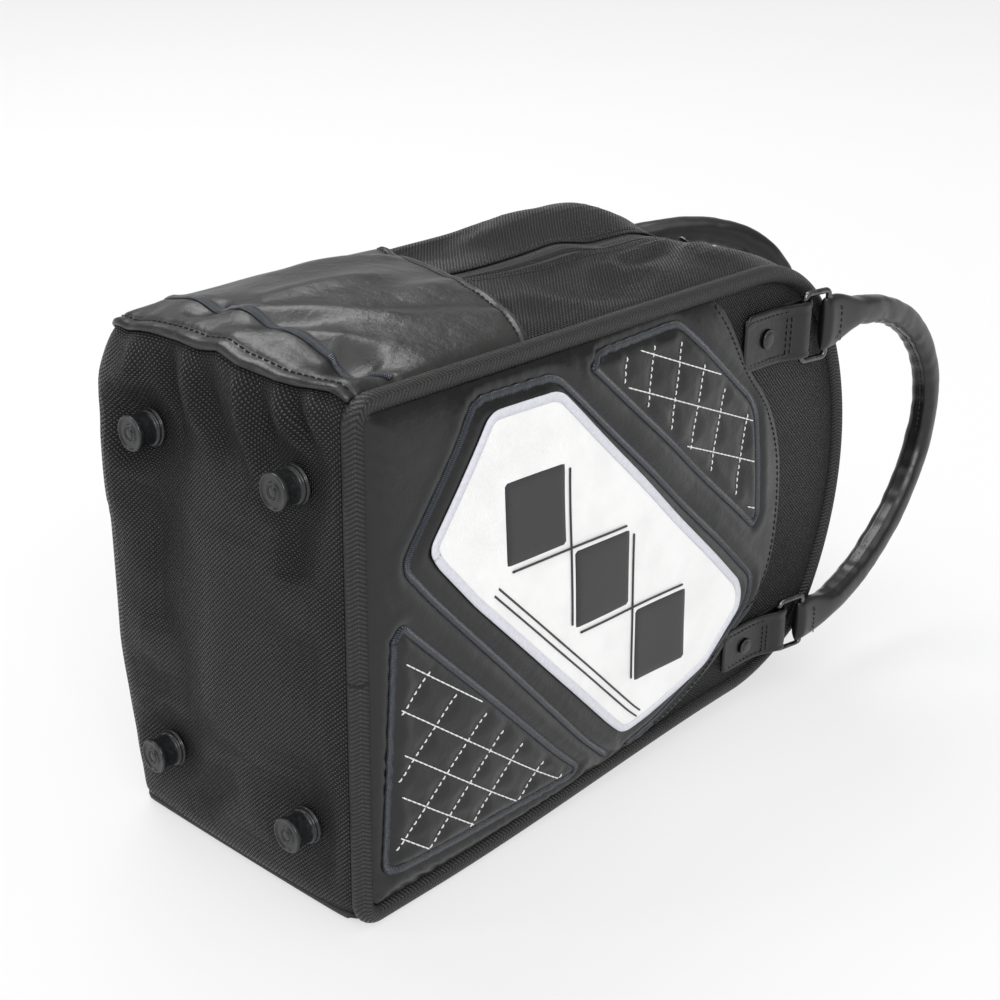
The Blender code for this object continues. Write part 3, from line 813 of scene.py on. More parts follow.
def plastic_look(name, tone, rough_low, rough_high, on_cloth=False, metallic=0.0, dents=0.0):
    """Moulded plastic or metal with a faint unevenness, scuffs and handling marks."""
    look = Look(name, rough_low, metallic, on_cloth)
    scuff = look.noise(2.2, 5, 0.7)
    look.bump(look.noise(0.35, 2), 0.012, 0.6)
    if dents:
        look.bump(look.noise(3.0, 3), dents, 0.7)
    color = look.mix_color(look.ramp(scuff, 0.45, 0.7, 0.0, 1.0), tone, tuple(1.7 * c for c in tone))
    return look.finish(color, look.ramp(scuff, 0.35, 0.7, rough_low, rough_high))


def patch_look():
    """White twill of the patch."""
    look = Look("patch_twill", 0.7)
    slope = look.math("ADD", look.math("DIVIDE", look.u, 0.7), look.math("DIVIDE", look.v, 0.7))
    ribs = look.math("ABSOLUTE", look.math("SINE", look.math("MULTIPLY", slope, pi)))
    look.bump(ribs, 0.10)
    look.bump(look.noise(16, 3), 0.35, 0.6)
    stain = look.ramp(look.noise(25, 4), 0.35, 0.7, 0.0, 1.0)
    color = look.mix_color(stain, (0.90, 0.90, 0.895), (0.84, 0.84, 0.835))
    return look.finish(color, Sheen_Weight=0.2, Sheen_Roughness=0.5)


def tape_look():
    look = Look("zip_tape", 0.6)
    height, _ = look.weave(0.5, 0.7, 0.5)
    look.bump(height, 0.15)
    # Painted shade: the colour darkens into the weave's gaps and is lighter on the yarn crests.
    color = look.mix_color(height, (0.003, 0.003, 0.003), (0.016, 0.016, 0.017))
    return look.finish(color, Sheen_Weight=0.2)


def lining_look():
    """Plain woven lining inside the bag."""
    look = Look("lining_cloth", 0.75)
    height, _ = look.weave(0.45, 0.45)
    look.bump(look.noise(18, 3), 0.6, 0.6)
    look.bump(height, 0.08)
    # Painted shade: the colour darkens into the weave's gaps and is lighter on the yarn crests.
    color = look.mix_color(height, (0.012, 0.012, 0.013), (0.036, 0.036, 0.038))
    return look.finish(color, Sheen_Weight=0.2)


def floor_look():
    look = Look("studio_floor", 0.85, on_cloth=False)
    look.bump(look.noise(400, 2), 0.3, 0.3)
    look.finish((0.25, 0.25, 0.252), Specular_IOR_Level=0.1, Emission_Strength=0.62)
    look.shader.inputs["Emission Color"].default_value = (1.0, 1.0, 1.0, 1.0)
    return look.material


NYLON = nylon_look()
WELT_NYLON = rib_look()
LEATHER = leather_look("leather_side", (0.010, 0.0096, 0.0092), 0.32, 0.42)
FRONT_LEATHER = leather_look("leather_front", (0.0026, 0.0028, 0.0032), 0.25, 0.40, 0.7)
HANDLE_LEATHER = leather_look("leather_handle", (0.006, 0.006, 0.006), 0.26, 0.42, 0.9)
SATIN = thread_look("satin_thread", (0.0003, 0.0006, 0.0012), (0.022, 0.032, 0.050), 0.75, 0.30, 0.25)
DARK_THREAD = thread_look("dark_thread", (0.003, 0.003, 0.004), (0.020, 0.021, 0.025), 0.5, 0.08)
WHITE_THREAD = thread_look("white_thread", (0.62, 0.62, 0.62), (0.92, 0.92, 0.91), 0.6, 0.1, 0.6, 1.2)
PATCH_BORDER = thread_look("patch_border_thread", (0.50, 0.50, 0.58), (0.84, 0.84, 0.88), 0.42, 0.1, 0.5)
MOTIF = thread_look("motif_thread", (0.002, 0.002, 0.003), (0.012, 0.012, 0.014), 0.42, 0.1, 0.45)
TWILL = patch_look()
TAPE = tape_look()
LINING = lining_look()
COIL = plastic_look("coil_plastic", (0.012, 0.012, 0.012), 0.25, 0.4, True)
PLASTIC = plastic_look("foot_plastic_look", (0.010, 0.0105, 0.0115), 0.24, 0.42)
BOARD = plastic_look("board_plastic", (0.03, 0.03, 0.031), 0.5, 0.65, dents=0.1)
GUNMETAL = plastic_look("gunmetal_look", (0.11, 0.11, 0.115), 0.2, 0.36, metallic=1.0)
STEEL = plastic_look("steel_look", (0.45, 0.45, 0.46), 0.25, 0.4, metallic=1.0)
RIVET = plastic_look("rivet_enamel", (0.016, 0.016, 0.017), 0.28, 0.42)


# ---------------------------------------------------------------- walls of the bag


def spread(low, high, edge, fine, coarse):
    """Marks from low to high for each row, close together within an edge width at both ends."""
    low, high = np.broadcast_arrays(np.asarray(low, float), np.asarray(high, float))
    near = np.arange(0, edge, fine)
    middle = np.linspace(0, 1, max(3, int(np.max(high - low) / coarse)))
    start, end = (low + edge)[..., None], (high - edge)[..., None]
    return np.concatenate([
        low[..., None] + near, start + (end - start) * middle, high[..., None] - near[::-1]], -1)


HEM_S = 112.8  # the leather's hem, round the corner from the base
LEATHER_EDGE = ([0, 20, 34, 49, 83, 116, 135, 160], [99, 108, 115, 118.5, 132, 144, 152, 158])
EDGE_V = 5.5
ZIP_OPEN = 6.4  # half the gap between the two folded edges over the zip


def leather_x(v):
    return np.interp(v, *LEATHER_EDGE)


def both_sides(name):
    """The two sides that mirror each other: a name and the step from a distance x to a place s."""
    return ((name + "_upper", upper_s, 1), (name + "_floor", floor_s, -1))


SETTLE_MOST = 5.0  # how far the settling may move the cloth
SETTLE_FRAMES = 22


def settle_cloth():
    """Lets the filled walls settle as cloth cut a little larger than the bag, held along its
    seams, its feet, its zip and the floor, so that it puckers between them."""
    s_marks = np.linspace(0, GIRTH, int(GIRTH / 4.2), endpoint=False)
    v_marks = np.linspace(EDGE_V, BACK_V, 40)
    s, v = np.meshgrid(s_marks, v_marks, indexing="ij")
    start = wall(s, v)
    rows, columns = s.shape
    faces = []
    for i in range(rows):
        for k in range(columns - 1):
            j = (i + 1) % rows
            faces.append((i * columns + k, j * columns + k, j * columns + k + 1, i * columns + k + 1))
    data = bpy.data.meshes.new("settling")
    data.from_pydata((start.reshape(-1, 3) * MM).tolist(), [], faces)
    obj = bpy.data.objects.new("settling", data)
    bpy.context.scene.collection.objects.link(obj)

    place = outline_at(s)
    x, z = place[..., 0], place[..., 1]
    free = smooth(v, EDGE_V + 2, EDGE_V + 16) * (1 - smooth(v, BACK_V - 22, BACK_V - 6))
    free *= smooth(z, 2, 24)
    zip_side = smooth(x, 112, 135) * bell(v, ZIP_Y, 16)
    free *= 1 - np.minimum(zip_side * 1.6, 1)
    for z_foot, v_foot in FOOT_SPOTS:
        near = bell(np.hypot(z - z_foot, v - v_foot), 0, 17) * (x < 20)
        free *= 1 - np.minimum(near * 1.4, 1)
    held = obj.vertex_groups.new(name="held")
    for index, weight in enumerate(1 - free.ravel()):
        held.add([index], float(weight), "REPLACE")

    cloth = obj.modifiers.new("Cloth", "CLOTH")
    settings = cloth.settings
    settings.quality, settings.mass = 6, 0.25
    settings.tension_stiffness = settings.compression_stiffness = 18
    settings.shear_stiffness, settings.bending_stiffness = 6, 1.2
    settings.air_damping = 3
    settings.use_pressure, settings.uniform_pressure_force = True, 3.0
    settings.shrink_min = -0.045
    settings.vertex_group_mass, settings.pin_stiffness = "held", 1.0
    settings.effector_weights.gravity = 0
    cloth.collision_settings.use_self_collision = False
    scene = bpy.context.scene
    cloth.point_cache.frame_start, cloth.point_cache.frame_end = 1, SETTLE_FRAMES
    for number in range(1, SETTLE_FRAMES + 1):
        scene.frame_set(number)
    graph = bpy.context.evaluated_depsgraph_get()
    settled = obj.evaluated_get(graph).to_mesh()
    spots = np.array([vertex.co[:] for vertex in settled.vertices]).reshape(rows, columns, 3) / MM
    obj.evaluated_get(graph).to_mesh_clear()
    scene.frame_set(1)
    bpy.data.objects.remove(obj)
    bpy.data.meshes.remove(data)

    move = (spots - start) * free[..., None]
    for _ in range(3):  # the stiff coated cloth holds no small creases
        move = 0.5 * move + 0.25 * (np.roll(move, 1, 0) + np.roll(move, -1, 0))
        padded = np.concatenate([move[:, :1], move, move[:, -1:]], 1)
        move = 0.5 * move + 0.25 * (padded[:, :-2] + padded[:, 2:])
    stiff = smooth(outward_at(s)[..., 1], 0.2, 0.9) * (1 - smooth(x, 120, 160))
    move *= (1 - 0.45 * stiff)[..., None]
    far = np.linalg.norm(move, axis=-1, keepdims=True)
    move *= SETTLE_MOST * np.tanh(far / SETTLE_MOST) / np.maximum(far, 1e-6)
    SHIFT["steps"] = (move, GIRTH / rows, EDGE_V, (BACK_V - EDGE_V) / (columns - 1))


def make_walls():
    v = spread(EDGE_V, BACK_V, 6, 1.0, 2.6)
    s = spread(-118.0, 118.0, 4, 1.0, 2.6)
    s, v = np.meshgrid(s, v)
    wall_sheet("base_nylon", s, v, 0.0, 1.3, "shell", [NYLON, LINING])
    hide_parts("base_panel")

    for name, to_s, sign in both_sides("leather"):
        v = spread(EDGE_V, BACK_V, 5, 0.8, 2.4)
        near = np.full_like(v, HEM_S if sign > 0 else GIRTH - HEM_S)
        far = to_s(leather_x(v))
        s = spread(near, far, 7, 0.6, 2.2) if sign > 0 else spread(far, near, 7, 0.6, 2.2)
        v = np.repeat(v[:, None], s.shape[1], 1)
        from_hem = np.abs(s - near[:, None])
        from_edge = np.abs(s - far[:, None])
        lift = 1.5 + 1.0 * bell(from_hem, 1.5, 1.6) - 0.55 * bell(from_hem, 4.6, 0.9)
        lift += 0.7 * bell(from_edge, 1.6, 1.5) - 0.35 * bell(from_edge, 3.9, 0.8)
        line = upper_line_x(v)
        if sign > 0:
            off = s - upper_s(line)
            lift -= 0.5 * bell(off, 0, 2.2)
            lift += 0.35 * (bell(off, -4.5, 2.5) + bell(off, 4.5, 2.5))
        wall_sheet(name, s, v, lift, 1.3, "shell", [LEATHER, LINING])
        node = "side_panel_upper" if sign > 0 else "side_panel_floor"
        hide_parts(node)

    strips = (
        ("front_strip", EDGE_V, ZIP_Y - ZIP_OPEN, "gusset_front", True),
        ("back_strip", ZIP_Y + ZIP_OPEN, BACK_V, "gusset_back", False),
    )
    for name, low, high, node, bend in strips:
        v = spread(low, high, 5, 0.8, 2.4)
        s = spread(upper_s(leather_x(v) - 7), floor_s(leather_x(v) - 7), 4, 1.0, 2.6)
        v = np.repeat(v[:, None], s.shape[1], 1)
        fold = high if bend else low
        lift = 0.5 * bell(v, fold, 2.0) - 0.35 * bell(v, fold + (-3.2 if bend else 3.2), 0.8)
        points = wall(s, v, lift).reshape(-1, 3)
        cloth = np.stack([s, v, np.zeros_like(s)], -1).reshape(-1, 3)
        *sheet, lining = lined_sheet(points, grid_faces(*s.shape), cloth, 1.3)
        finish_piece(name, *sheet, [NYLON, LINING], "shell", "nylon", [node], lining, bend)


def upper_line_x(v):
    """The satin line that runs across the upper leather, near the base."""
    return np.interp(v, [0, 8, 14, 20, 60, 100, 148, 160], [29, 28, 24.5, 24, 26, 27, 31, 32])


def make_wall_trim():
    parts = []
    v = np.linspace(7.5, BACK_V - 2, 90)
    s = upper_s(upper_line_x(v))
    path, ups = wall(s, v, 1.75), wall_ups(s, v)
    parts.append(sweep(path, ups, 2.1, 1.0, 12))
    finish_piece("upper_satin_line", *joined(parts), SATIN, "shell", "leather")

    rows = []
    for _, to_s, sign in both_sides("stitch"):
        v = np.linspace(8, BACK_V - 3, 120)
        hem = np.full_like(v, HEM_S if sign > 0 else GIRTH - HEM_S) + sign * 4.6
        rows.append((hem, v, 1.15))
        rows.append((to_s(leather_x(v) - 3.9), v, 1.35))
    parts = [stitches(wall(s, v, lift), wall_ups(s, v), 2.6, 0.9, 0.3, 0.3) for s, v, lift in rows]
    finish_piece("leather_stitches", *joined(parts), DARK_THREAD, "shell", "leather")

    for name, v_row, body, bend in (
        ("front_zip_stitches", ZIP_Y - ZIP_OPEN - 3.2, "front_flap", True),
        ("back_zip_stitches", ZIP_Y + ZIP_OPEN + 3.2, "shell", False),
    ):
        s = np.arange(upper_s(leather_x(v_row)), floor_s(leather_x(v_row)), 1.5)
        v = np.full_like(s, v_row)
        parts = stitches(wall(s, v, -0.3), wall_ups(s, v), 2.4, 0.9, 0.28, 0.3)
        finish_piece(name, *parts, DARK_THREAD, body, "nylon", bend=bend)


def make_back():
    """The back face: a soft plate sewn inside the rounded edge."""
    outline = tombstone(BACK_ROUND - 0.6)
    flat_points, faces = fill_outline(resample(outline, 3.0, closed=True), 3.4, (0.7, 1.5, 2.8))
    edge = line_distance(flat_points, outline, closed=True)
    rise = 0.7 * bell(edge, 1.6, 1.6) - 0.5 * bell(edge, 4.2, 0.8)
    rise += 3.2 * (1 - np.exp(-edge / 34)) + 0.9 * noise_at(flat(flat_points), 55, 3.0) * smooth(edge, 2, 30)
    for z in (MID_Z + TAB_Z, MID_Z - TAB_Z):  # the tabs hold the cloth down
        far = np.hypot(flat_points[:, 0] - 288, flat_points[:, 1] - z)
        rise *= 1 - 0.9 * bell(far, 0, 30)
    y = BAG_DEPTH - 0.6 + rise
    points = np.stack([flat_points[:, 0], y, flat_points[:, 1]], 1)
    faces = [tuple(reversed(f)) for f in faces]
    *sheet, lining = lined_sheet(points, faces, flat(flat_points), 1.3)
    finish_piece("back_nylon", *sheet, [NYLON, LINING], "shell", "nylon", ["back_panel"], lining)
    row = resample(tombstone(BACK_ROUND + 3.6), 1.5, closed=True)
    path = np.stack([row[:, 0], np.full(len(row), BAG_DEPTH - 0.75), row[:, 1]], 1)
    ups = np.tile((0.0, 1.0, 0.0), (len(path), 1))
    finish_piece("back_stitches", *stitches(path, ups, 2.4, 0.9, 0.28, 0.3), DARK_THREAD, "shell", "nylon")


def make_zip():
    """The two tapes and their coils, which interlock along the middle of the zip."""
    for name, low, high, node, body, bend in (
        ("front", ZIP_Y - ZIP_OPEN - 1.6, ZIP_Y - 0.2, "front", "front_flap", True),
        ("back", ZIP_Y + 0.2, ZIP_Y + ZIP_OPEN + 1.6, "back", "shell", False),
    ):
        v = np.linspace(low, high, 7)
        s = np.arange(upper_s(leather_x(ZIP_Y) - 6), floor_s(leather_x(ZIP_Y) - 6), 2.6)
        s, v = np.meshgrid(s, v)
        points = wall(s, v, -1.5).reshape(-1, 3)
        cloth = np.stack([s, v, np.zeros_like(s)], -1).reshape(-1, 3)
        parts = thicken(points, grid_faces(*s.shape), 0.6, cloth)
        finish_piece(f"{name}_tape", *parts, TAPE, body, "zip_fabric", [f"zip_tape_{node}"], bend=bend)

        sign = -1 if name == "front" else 1
        marks = np.arange(upper_s(leather_x(ZIP_Y) - 3), floor_s(leather_x(ZIP_Y) - 3), 1.5)
        marks = marks + (0.75 if name == "front" else 0.0)
        teeth = []
        across = np.array([3.0, 2.4, 1.2, 0.2, -0.35])
        lifts = np.array([-0.95, -0.5, -0.3, -0.35, -0.7])
        thick = np.array([0.26, 0.36, 0.38, 0.42, 0.34])
        slant = np.array([0.25, 0.1, 0.0, 0.0, 0.0])
        for s in marks:
            path = wall(s + slant, ZIP_Y + sign * across, lifts)
            up = wall_ups(np.full(5, s), np.full(5, ZIP_Y))
            teeth.append(sweep(path, up, thick, thick * 0.9, 6))
        finish_piece(f"{name}_coil", *joined(teeth), COIL, body, "zip_fabric",
                     [f"zip_coil_{node}"], bend=bend)


# ---------------------------------------------------------------- the front

OVERLAY_INSET = 7.0
FACE_LOW = BASE_R - OVERLAY_INSET
WELT_SIDE = np.concatenate([
    [(190, OVERLAY_INSET)],
    arc(BASE_R, BASE_R, FACE_LOW, -pi / 2, -pi, 6),
    arc(BASE_R, BAG_WIDTH - BASE_R, FACE_LOW, pi, pi / 2, 6),
    [(226, BAG_WIDTH - OVERLAY_INSET)],
])
FREE_SIDE = rounded([(226, BAG_WIDTH - OVERLAY_INSET)] + OVERLAY_EDGE + [(190, OVERLAY_INSET)], 9)
OVERLAY = np.concatenate([WELT_SIDE, FREE_SIDE[1:-1]])
HEX = rounded(HEX_LINE, 7)
UPPER_PAD = rounded(UPPER_QUILT, 6)
LOWER_PAD = rounded(LOWER_QUILT, 5)

# Quilting lines in each padded corner: an angle, each line's distance from the origin, and
# whether the thread shows as dashes
QUILTS = {
    "upper": (UPPER_PAD, [
        (80.3, (-118.7, -137.0, -155.7, -174.1, -194.5, -217.6, -238.0), True),
        (157.5, (-259.1, -242.6, -224.0, -202.2), False)]),
    "lower": (LOWER_PAD, [
        (41.0, (80.0, 57.0, 35.5, 12.7, -4.4, -22.0, -44.0, -63.3), True),
        (142.0, (-106.5, -89.5, -73.8, -58.1, -42.5, -27.0), False)]),
}


def quilt_lines(pad, families):
    """Each stitched line inside a pad, as (its points in x and z, dashed)."""
    closed_pad = np.vstack([pad, pad[:1]])
    centre = pad.mean(0)
    for angle, offsets, dashed in families:
        direction = np.array([cos(radians(angle)), sin(radians(angle))])
        across = np.array([-direction[1], direction[0]])
        for offset in offsets:
            along = np.arange(-160, 160, 0.5) + centre @ direction
            line = across * offset + along[:, None] * direction
            held = inside(line, pad) & (line_distance(line, closed_pad) > 3.4)
            line = line[held]
            if len(line) > 8:
                yield line, dashed


def front_height(flat_points, trim=True):
    """How far the overlay stands proud of the front plane, at points in x and z."""
    welt = line_distance(flat_points, WELT_SIDE)
    free = line_distance(flat_points, FREE_SIDE)
    height = -2.6 + 5.2 * (1 - np.exp(-welt / 6.5)) - 1.5 * np.exp(-free / 5.0)
    height += 1.3 * (1 - np.exp(-np.minimum(welt, free) / 30))
    broad = flat(flat_points)
    height += 1.7 * noise_at(broad, 58, 1.0) * smooth(np.minimum(welt, free), 2, 26)
    pucker = np.sin(flat_points @ (2 * pi / 7.5, 2 * pi / 9.0) + 5 * noise_at(broad, 18, 2.0))
    height += 0.55 * pucker * bell(welt, 7.5, 6.0) * (0.4 + noise_at(broad, 26, 4.0))
    if not trim:
        return height
    for line, closed in ((HEX, False), (UPPER_PAD, True), (LOWER_PAD, True)):
        far = line_distance(flat_points, line, closed)
        height += 0.6 * bell(far, 6.0, 3.0) - 1.5 * bell(far, 0, 3.0)
    for pad, families in QUILTS.values():
        within = inside(flat_points, pad)
        if not within.any():
            continue
        far = np.full(within.sum(), 99.0)
        for line, _ in quilt_lines(pad, families):
            far = np.minimum(far, line_distance(flat_points[within], line[[0, -1]]))
        edge = line_distance(flat_points[within], pad, True)
        height[within] += (1.25 * (1 - np.exp(-((far / 4.2) ** 2))) - 0.85) * smooth(edge, 2, 6)
    return height


def on_front(line, lift, trim=True):
    """A line in x and z laid on the overlay, with its up directions."""
    line = np.asarray(line, float)
    path = np.stack([line[:, 0], -front_height(line, trim) - lift, line[:, 1]], 1)
    return path, np.tile((0.0, -1.0, 0.0), (len(path), 1))


def make_front():
    outline = tombstone(6.2)
    spots, faces = fill_outline(resample(outline, 3.0, closed=True), 3.2, (0.8, 2.0, 3.6))
    edge = line_distance(spots, outline, closed=True)
    height = -3.2 + 2.7 * (1 - np.exp(-edge / 5.0)) + 0.12 * noise_at(flat(spots), 24, 5.0)
    points = np.stack([spots[:, 0], -height, spots[:, 1]], 1)
    *sheet, lining = lined_sheet(points, faces, flat(spots), 1.5)
    finish_piece("front_nylon", *sheet, [NYLON, LINING], "front_flap", "nylon",
                 ["front_panel_lower", "front_panel_upper"], lining, True)

    spots, faces = fill_outline(OVERLAY, 1.9, (0.5, 1.2, 2.2))
    points = np.stack([spots[:, 0], -front_height(spots), spots[:, 1]], 1)
    points, faces, cloth = thicken(points, faces, 1.4, flat(spots), 0.5)
    finish_piece("front_overlay", points, faces, cloth, FRONT_LEATHER, "front_flap", "leather",
                 ["front_overlay_lower", "front_overlay_upper"], bend=True)

    for name, line, closed in (
        ("hexagon_satin", HEX, False), ("upper_quilt_satin", UPPER_PAD, True),
        ("lower_quilt_satin", LOWER_PAD, True),
    ):
        marks = resample(line, 1.2, closed)
        path, ups = on_front(marks, 0.3)
        parts = sweep(path, ups, 1.9, 1.1, 12, closed)
        finish_piece(name, *parts, SATIN, "front_flap", "leather", bend=True)

    for name, (pad, families) in QUILTS.items():
        threads = []
        for line, dashed in quilt_lines(pad, families):
            path, ups = on_front(line, 0.05)
            length, gap = (2.0, 1.1) if dashed else (3.2, 0.15)
            threads.append(stitches(path, ups, length, gap, 0.36, 0.22))
        finish_piece(f"{name}_quilt_threads", *joined([t for t in threads if t]), WHITE_THREAD,
                     "front_flap", "leather", bend=True)

    row = resample(offset_line(FREE_SIDE[3:-3], 3.4), 1.2)
    path, ups = on_front(row, 0.05)
    finish_piece("overlay_stitches", *stitches(path, ups, 2.4, 0.9, 0.3, 0.25), DARK_THREAD,
                 "front_flap", "leather", bend=True)


def offset_line(line, distance):
    """The line moved to its right-hand side."""
    line = resample(line, 1.5)
    along = np.gradient(line, axis=0)
    side = np.stack([along[:, 1], -along[:, 0]], 1)
    return line + side / np.linalg.norm(side, axis=1)[:, None] * distance


PATCH_MID, PATCH_TURN = np.array([142.0, 114.0]), radians(-44.5)


def on_patch_axis(points):
    """From (along, across) the patch's long axis to x and z."""
    points = np.asarray(points, float)
    along = np.array([cos(PATCH_TURN), sin(PATCH_TURN)])
    across = np.array([-along[1], along[0]])
    return PATCH_MID + points[:, :1] * along + points[:, 1:] * across


def make_patch():
    outline = rounded(PATCH, 5, closed=True)
    spots, faces = fill_outline(outline, 3.0, (0.6, 1.4))
    points = np.stack([spots[:, 0], -front_height(spots, False) - 1.0, spots[:, 1]], 1)
    points, faces, cloth = thicken(points, faces, 0.9, flat(spots))
    finish_piece("patch_cloth", points, faces, cloth, TWILL, "front_flap", "patch_fabric",
                 ["patch_lower", "patch_upper"], bend=True)
    edge = resample(outline, 1.2, closed=True)
    path, ups = on_front(edge, 1.05, False)
    finish_piece("patch_border", *sweep(path, ups, 2.1, 0.75, 12, True), PATCH_BORDER,
                 "front_flap", "patch_fabric", bend=True)

    parts = []
    for along in (-62, 0, 62):
        corners = [(along - 27, 0), (along, 25), (along + 27, 0), (along, -25)]
        shape = rounded(on_patch_axis(corners), 1.2, closed=True)
        spots, faces = fill_outline(shape, 2.2, (0.5,))
        far = line_distance(spots, shape, True)
        height = front_height(spots, False) + 1.0 + 0.55 * (1 - np.exp(-far / 0.9))
        points = np.stack([spots[:, 0], -height, spots[:, 1]], 1)
        parts.append(thicken(points, faces, 0.5, flat(spots)))
    finish_piece("patch_diamonds", *joined(parts), MOTIF, "front_flap", "patch_fabric", bend=True)

    rules = []
    for along in (-31, 31):
        for turn in (-1, 1):
            ends = [(along - 27, -turn * 25), (along + 27, turn * 25)]
            line = resample(on_patch_axis(ends), 1.5)
            path, ups = on_front(line, 1.55, False)
            rules.append(sweep(path, ups, 0.55, 0.4, 8))
    for across in (-34.0, -37.5):
        line = resample(on_patch_axis([(-60, across), (78, across)]), 1.5)
        path, ups = on_front(line, 1.1, False)
        rules.append(sweep(path, ups, 0.5, 0.4, 8))
    finish_piece("patch_rules", *joined(rules), MOTIF, "front_flap", "patch_fabric", bend=True)


def make_welt():
    line = resample(tombstone(WELT_R), 1.6, closed=True)
    path = np.stack([line[:, 0], np.full(len(line), WELT_Y), line[:, 1]], 1)
    ups = np.tile((0.0, -1.0, 0.0), (len(path), 1))
    turns = circle(20)
    shape = np.stack([np.cos(turns), np.sin(turns)], 1)
    points, faces, cloth = sweep(path, ups, WELT_R, WELT_R, closed=True, profile=shape)
    finish_piece("welt", points, faces, cloth, WELT_NYLON, "front_flap", "nylon",
                 ["welt_lower", "welt_upper"], bend=True)


# ---------------------------------------------------------------- hardware


def in_frame(points, origin, turn_deg):
    """Points of a frame turned about the bag's z, in the bag's frame."""
    turn = radians(turn_deg)
    x, y, z = np.asarray(points, float).T
    return np.asarray(origin) + np.stack([x * cos(turn) - y * sin(turn), x * sin(turn) + y * cos(turn), z], 1)


def bevelled(outline, low, high, width, segments=3):
    """A plate with rounded edges: an outline in a and b, from c = low to c = high."""
    mesh = bmesh.new()
    near = [mesh.verts.new((a, b, low)) for a, b in outline]
    far = [mesh.verts.new((a, b, high)) for a, b in outline]
    count = len(outline)
    mesh.faces.new(list(reversed(near)))
    mesh.faces.new(far)
    for i in range(count):
        j = (i + 1) % count
        mesh.faces.new((near[i], near[j], far[j], far[i]))
    bmesh.ops.recalc_face_normals(mesh, faces=mesh.faces)
    bmesh.ops.bevel(mesh, geom=list(mesh.edges), offset=width, segments=segments, profile=0.5,
                    affect="EDGES", clamp_overlap=True)
    mesh.verts.index_update()
    points = np.array([v.co[:] for v in mesh.verts])
    faces = [tuple(v.index for v in f.verts) for f in mesh.faces]
    mesh.free()
    return points, faces, np.zeros_like(points)


def on_edge(plate):
    """A bevelled plate with its thickness along the first axis."""
    points, faces, cloth = plate
    return points[:, [2, 0, 1]], faces, cloth


FOOT_PROFILE = [
    (-4.9, 1.8), (-4.9, 3.3), (-4.7, 3.5), (0.15, 3.5), (0.2, 7.9), (0.4, 8.25), (0.8, 8.4),
    (1.2, 8.35), (1.5, 8.1), (1.7, 7.75), (2.1, 7.8), (2.7, 7.75), (3.05, 7.5), (3.25, 7.1),
    (3.7, 6.85), (4.6, 6.75), (9.0, 6.85), (9.6, 6.95), (9.85, 7.15), (10.1, 7.45), (10.5, 7.6),
    (11.5, 7.6), (12.0, 7.52), (12.3, 7.3), (12.4, 6.95), (12.3, 6.6), (12.0, 6.4), (11.85, 6.1),
    (11.8, 5.4), (11.8, 4.4), (11.9, 4.05), (12.2, 3.85), (12.35, 3.55), (12.3, 3.2), (12.05, 2.95),
    (11.75, 2.75), (11.7, 2.5), (11.9, 2.25), (12.2, 1.9), (12.36, 1.3), (12.4, 0.6), (12.4, 0.0),
]


def foot_places():
    return [(0, y, z) for z, y in reversed(FOOT_SPOTS)]


def make_feet():
    for number, place in enumerate(foot_places(), 1):
        parts = turned(FOOT_PROFILE, place, (-1.0, 0.0, 0.0), 64)
        finish_piece(f"moulded_foot_{number}", *parts, PLASTIC, "shell", "foot_plastic", [f"foot_{number}"])


RIVET_BACK = 26.0  # from the ring's bar to the rivet
BAR_R, BAR_LIFT = 1.5, 4.1
FRONT_BAR = (287.5, -BAR_LIFT, MID_Z)
BACK_BAR = (303.0, BAG_DEPTH + BAR_LIFT, MID_Z)
RING_HALF = RING_REACH = 16.5
FRONT_TURN, BACK_TURN = -10.0, 20.0  # how the rings stand, in degrees
TAB_REACH = 42.0  # the strap's end is tucked under the overlay
TAB_TOP = [(-TAB_REACH, -2.3), (-24, -2.0), (-16, -1.3), (-10, 0.6), (-6, 2.4), (-3, 3.6)]


def tab_line():
    """The strap's outer line round the bar: along the strap, and off the panel."""
    bend = [(3.8 * cos(t), 3.8 * sin(t)) for t in np.linspace(pi / 2 - 0.2, -pi / 2, 12)]
    return rounded(TAB_TOP + bend + [(-8, -3.9), (-TAB_REACH - 1, -3.9)], 3)


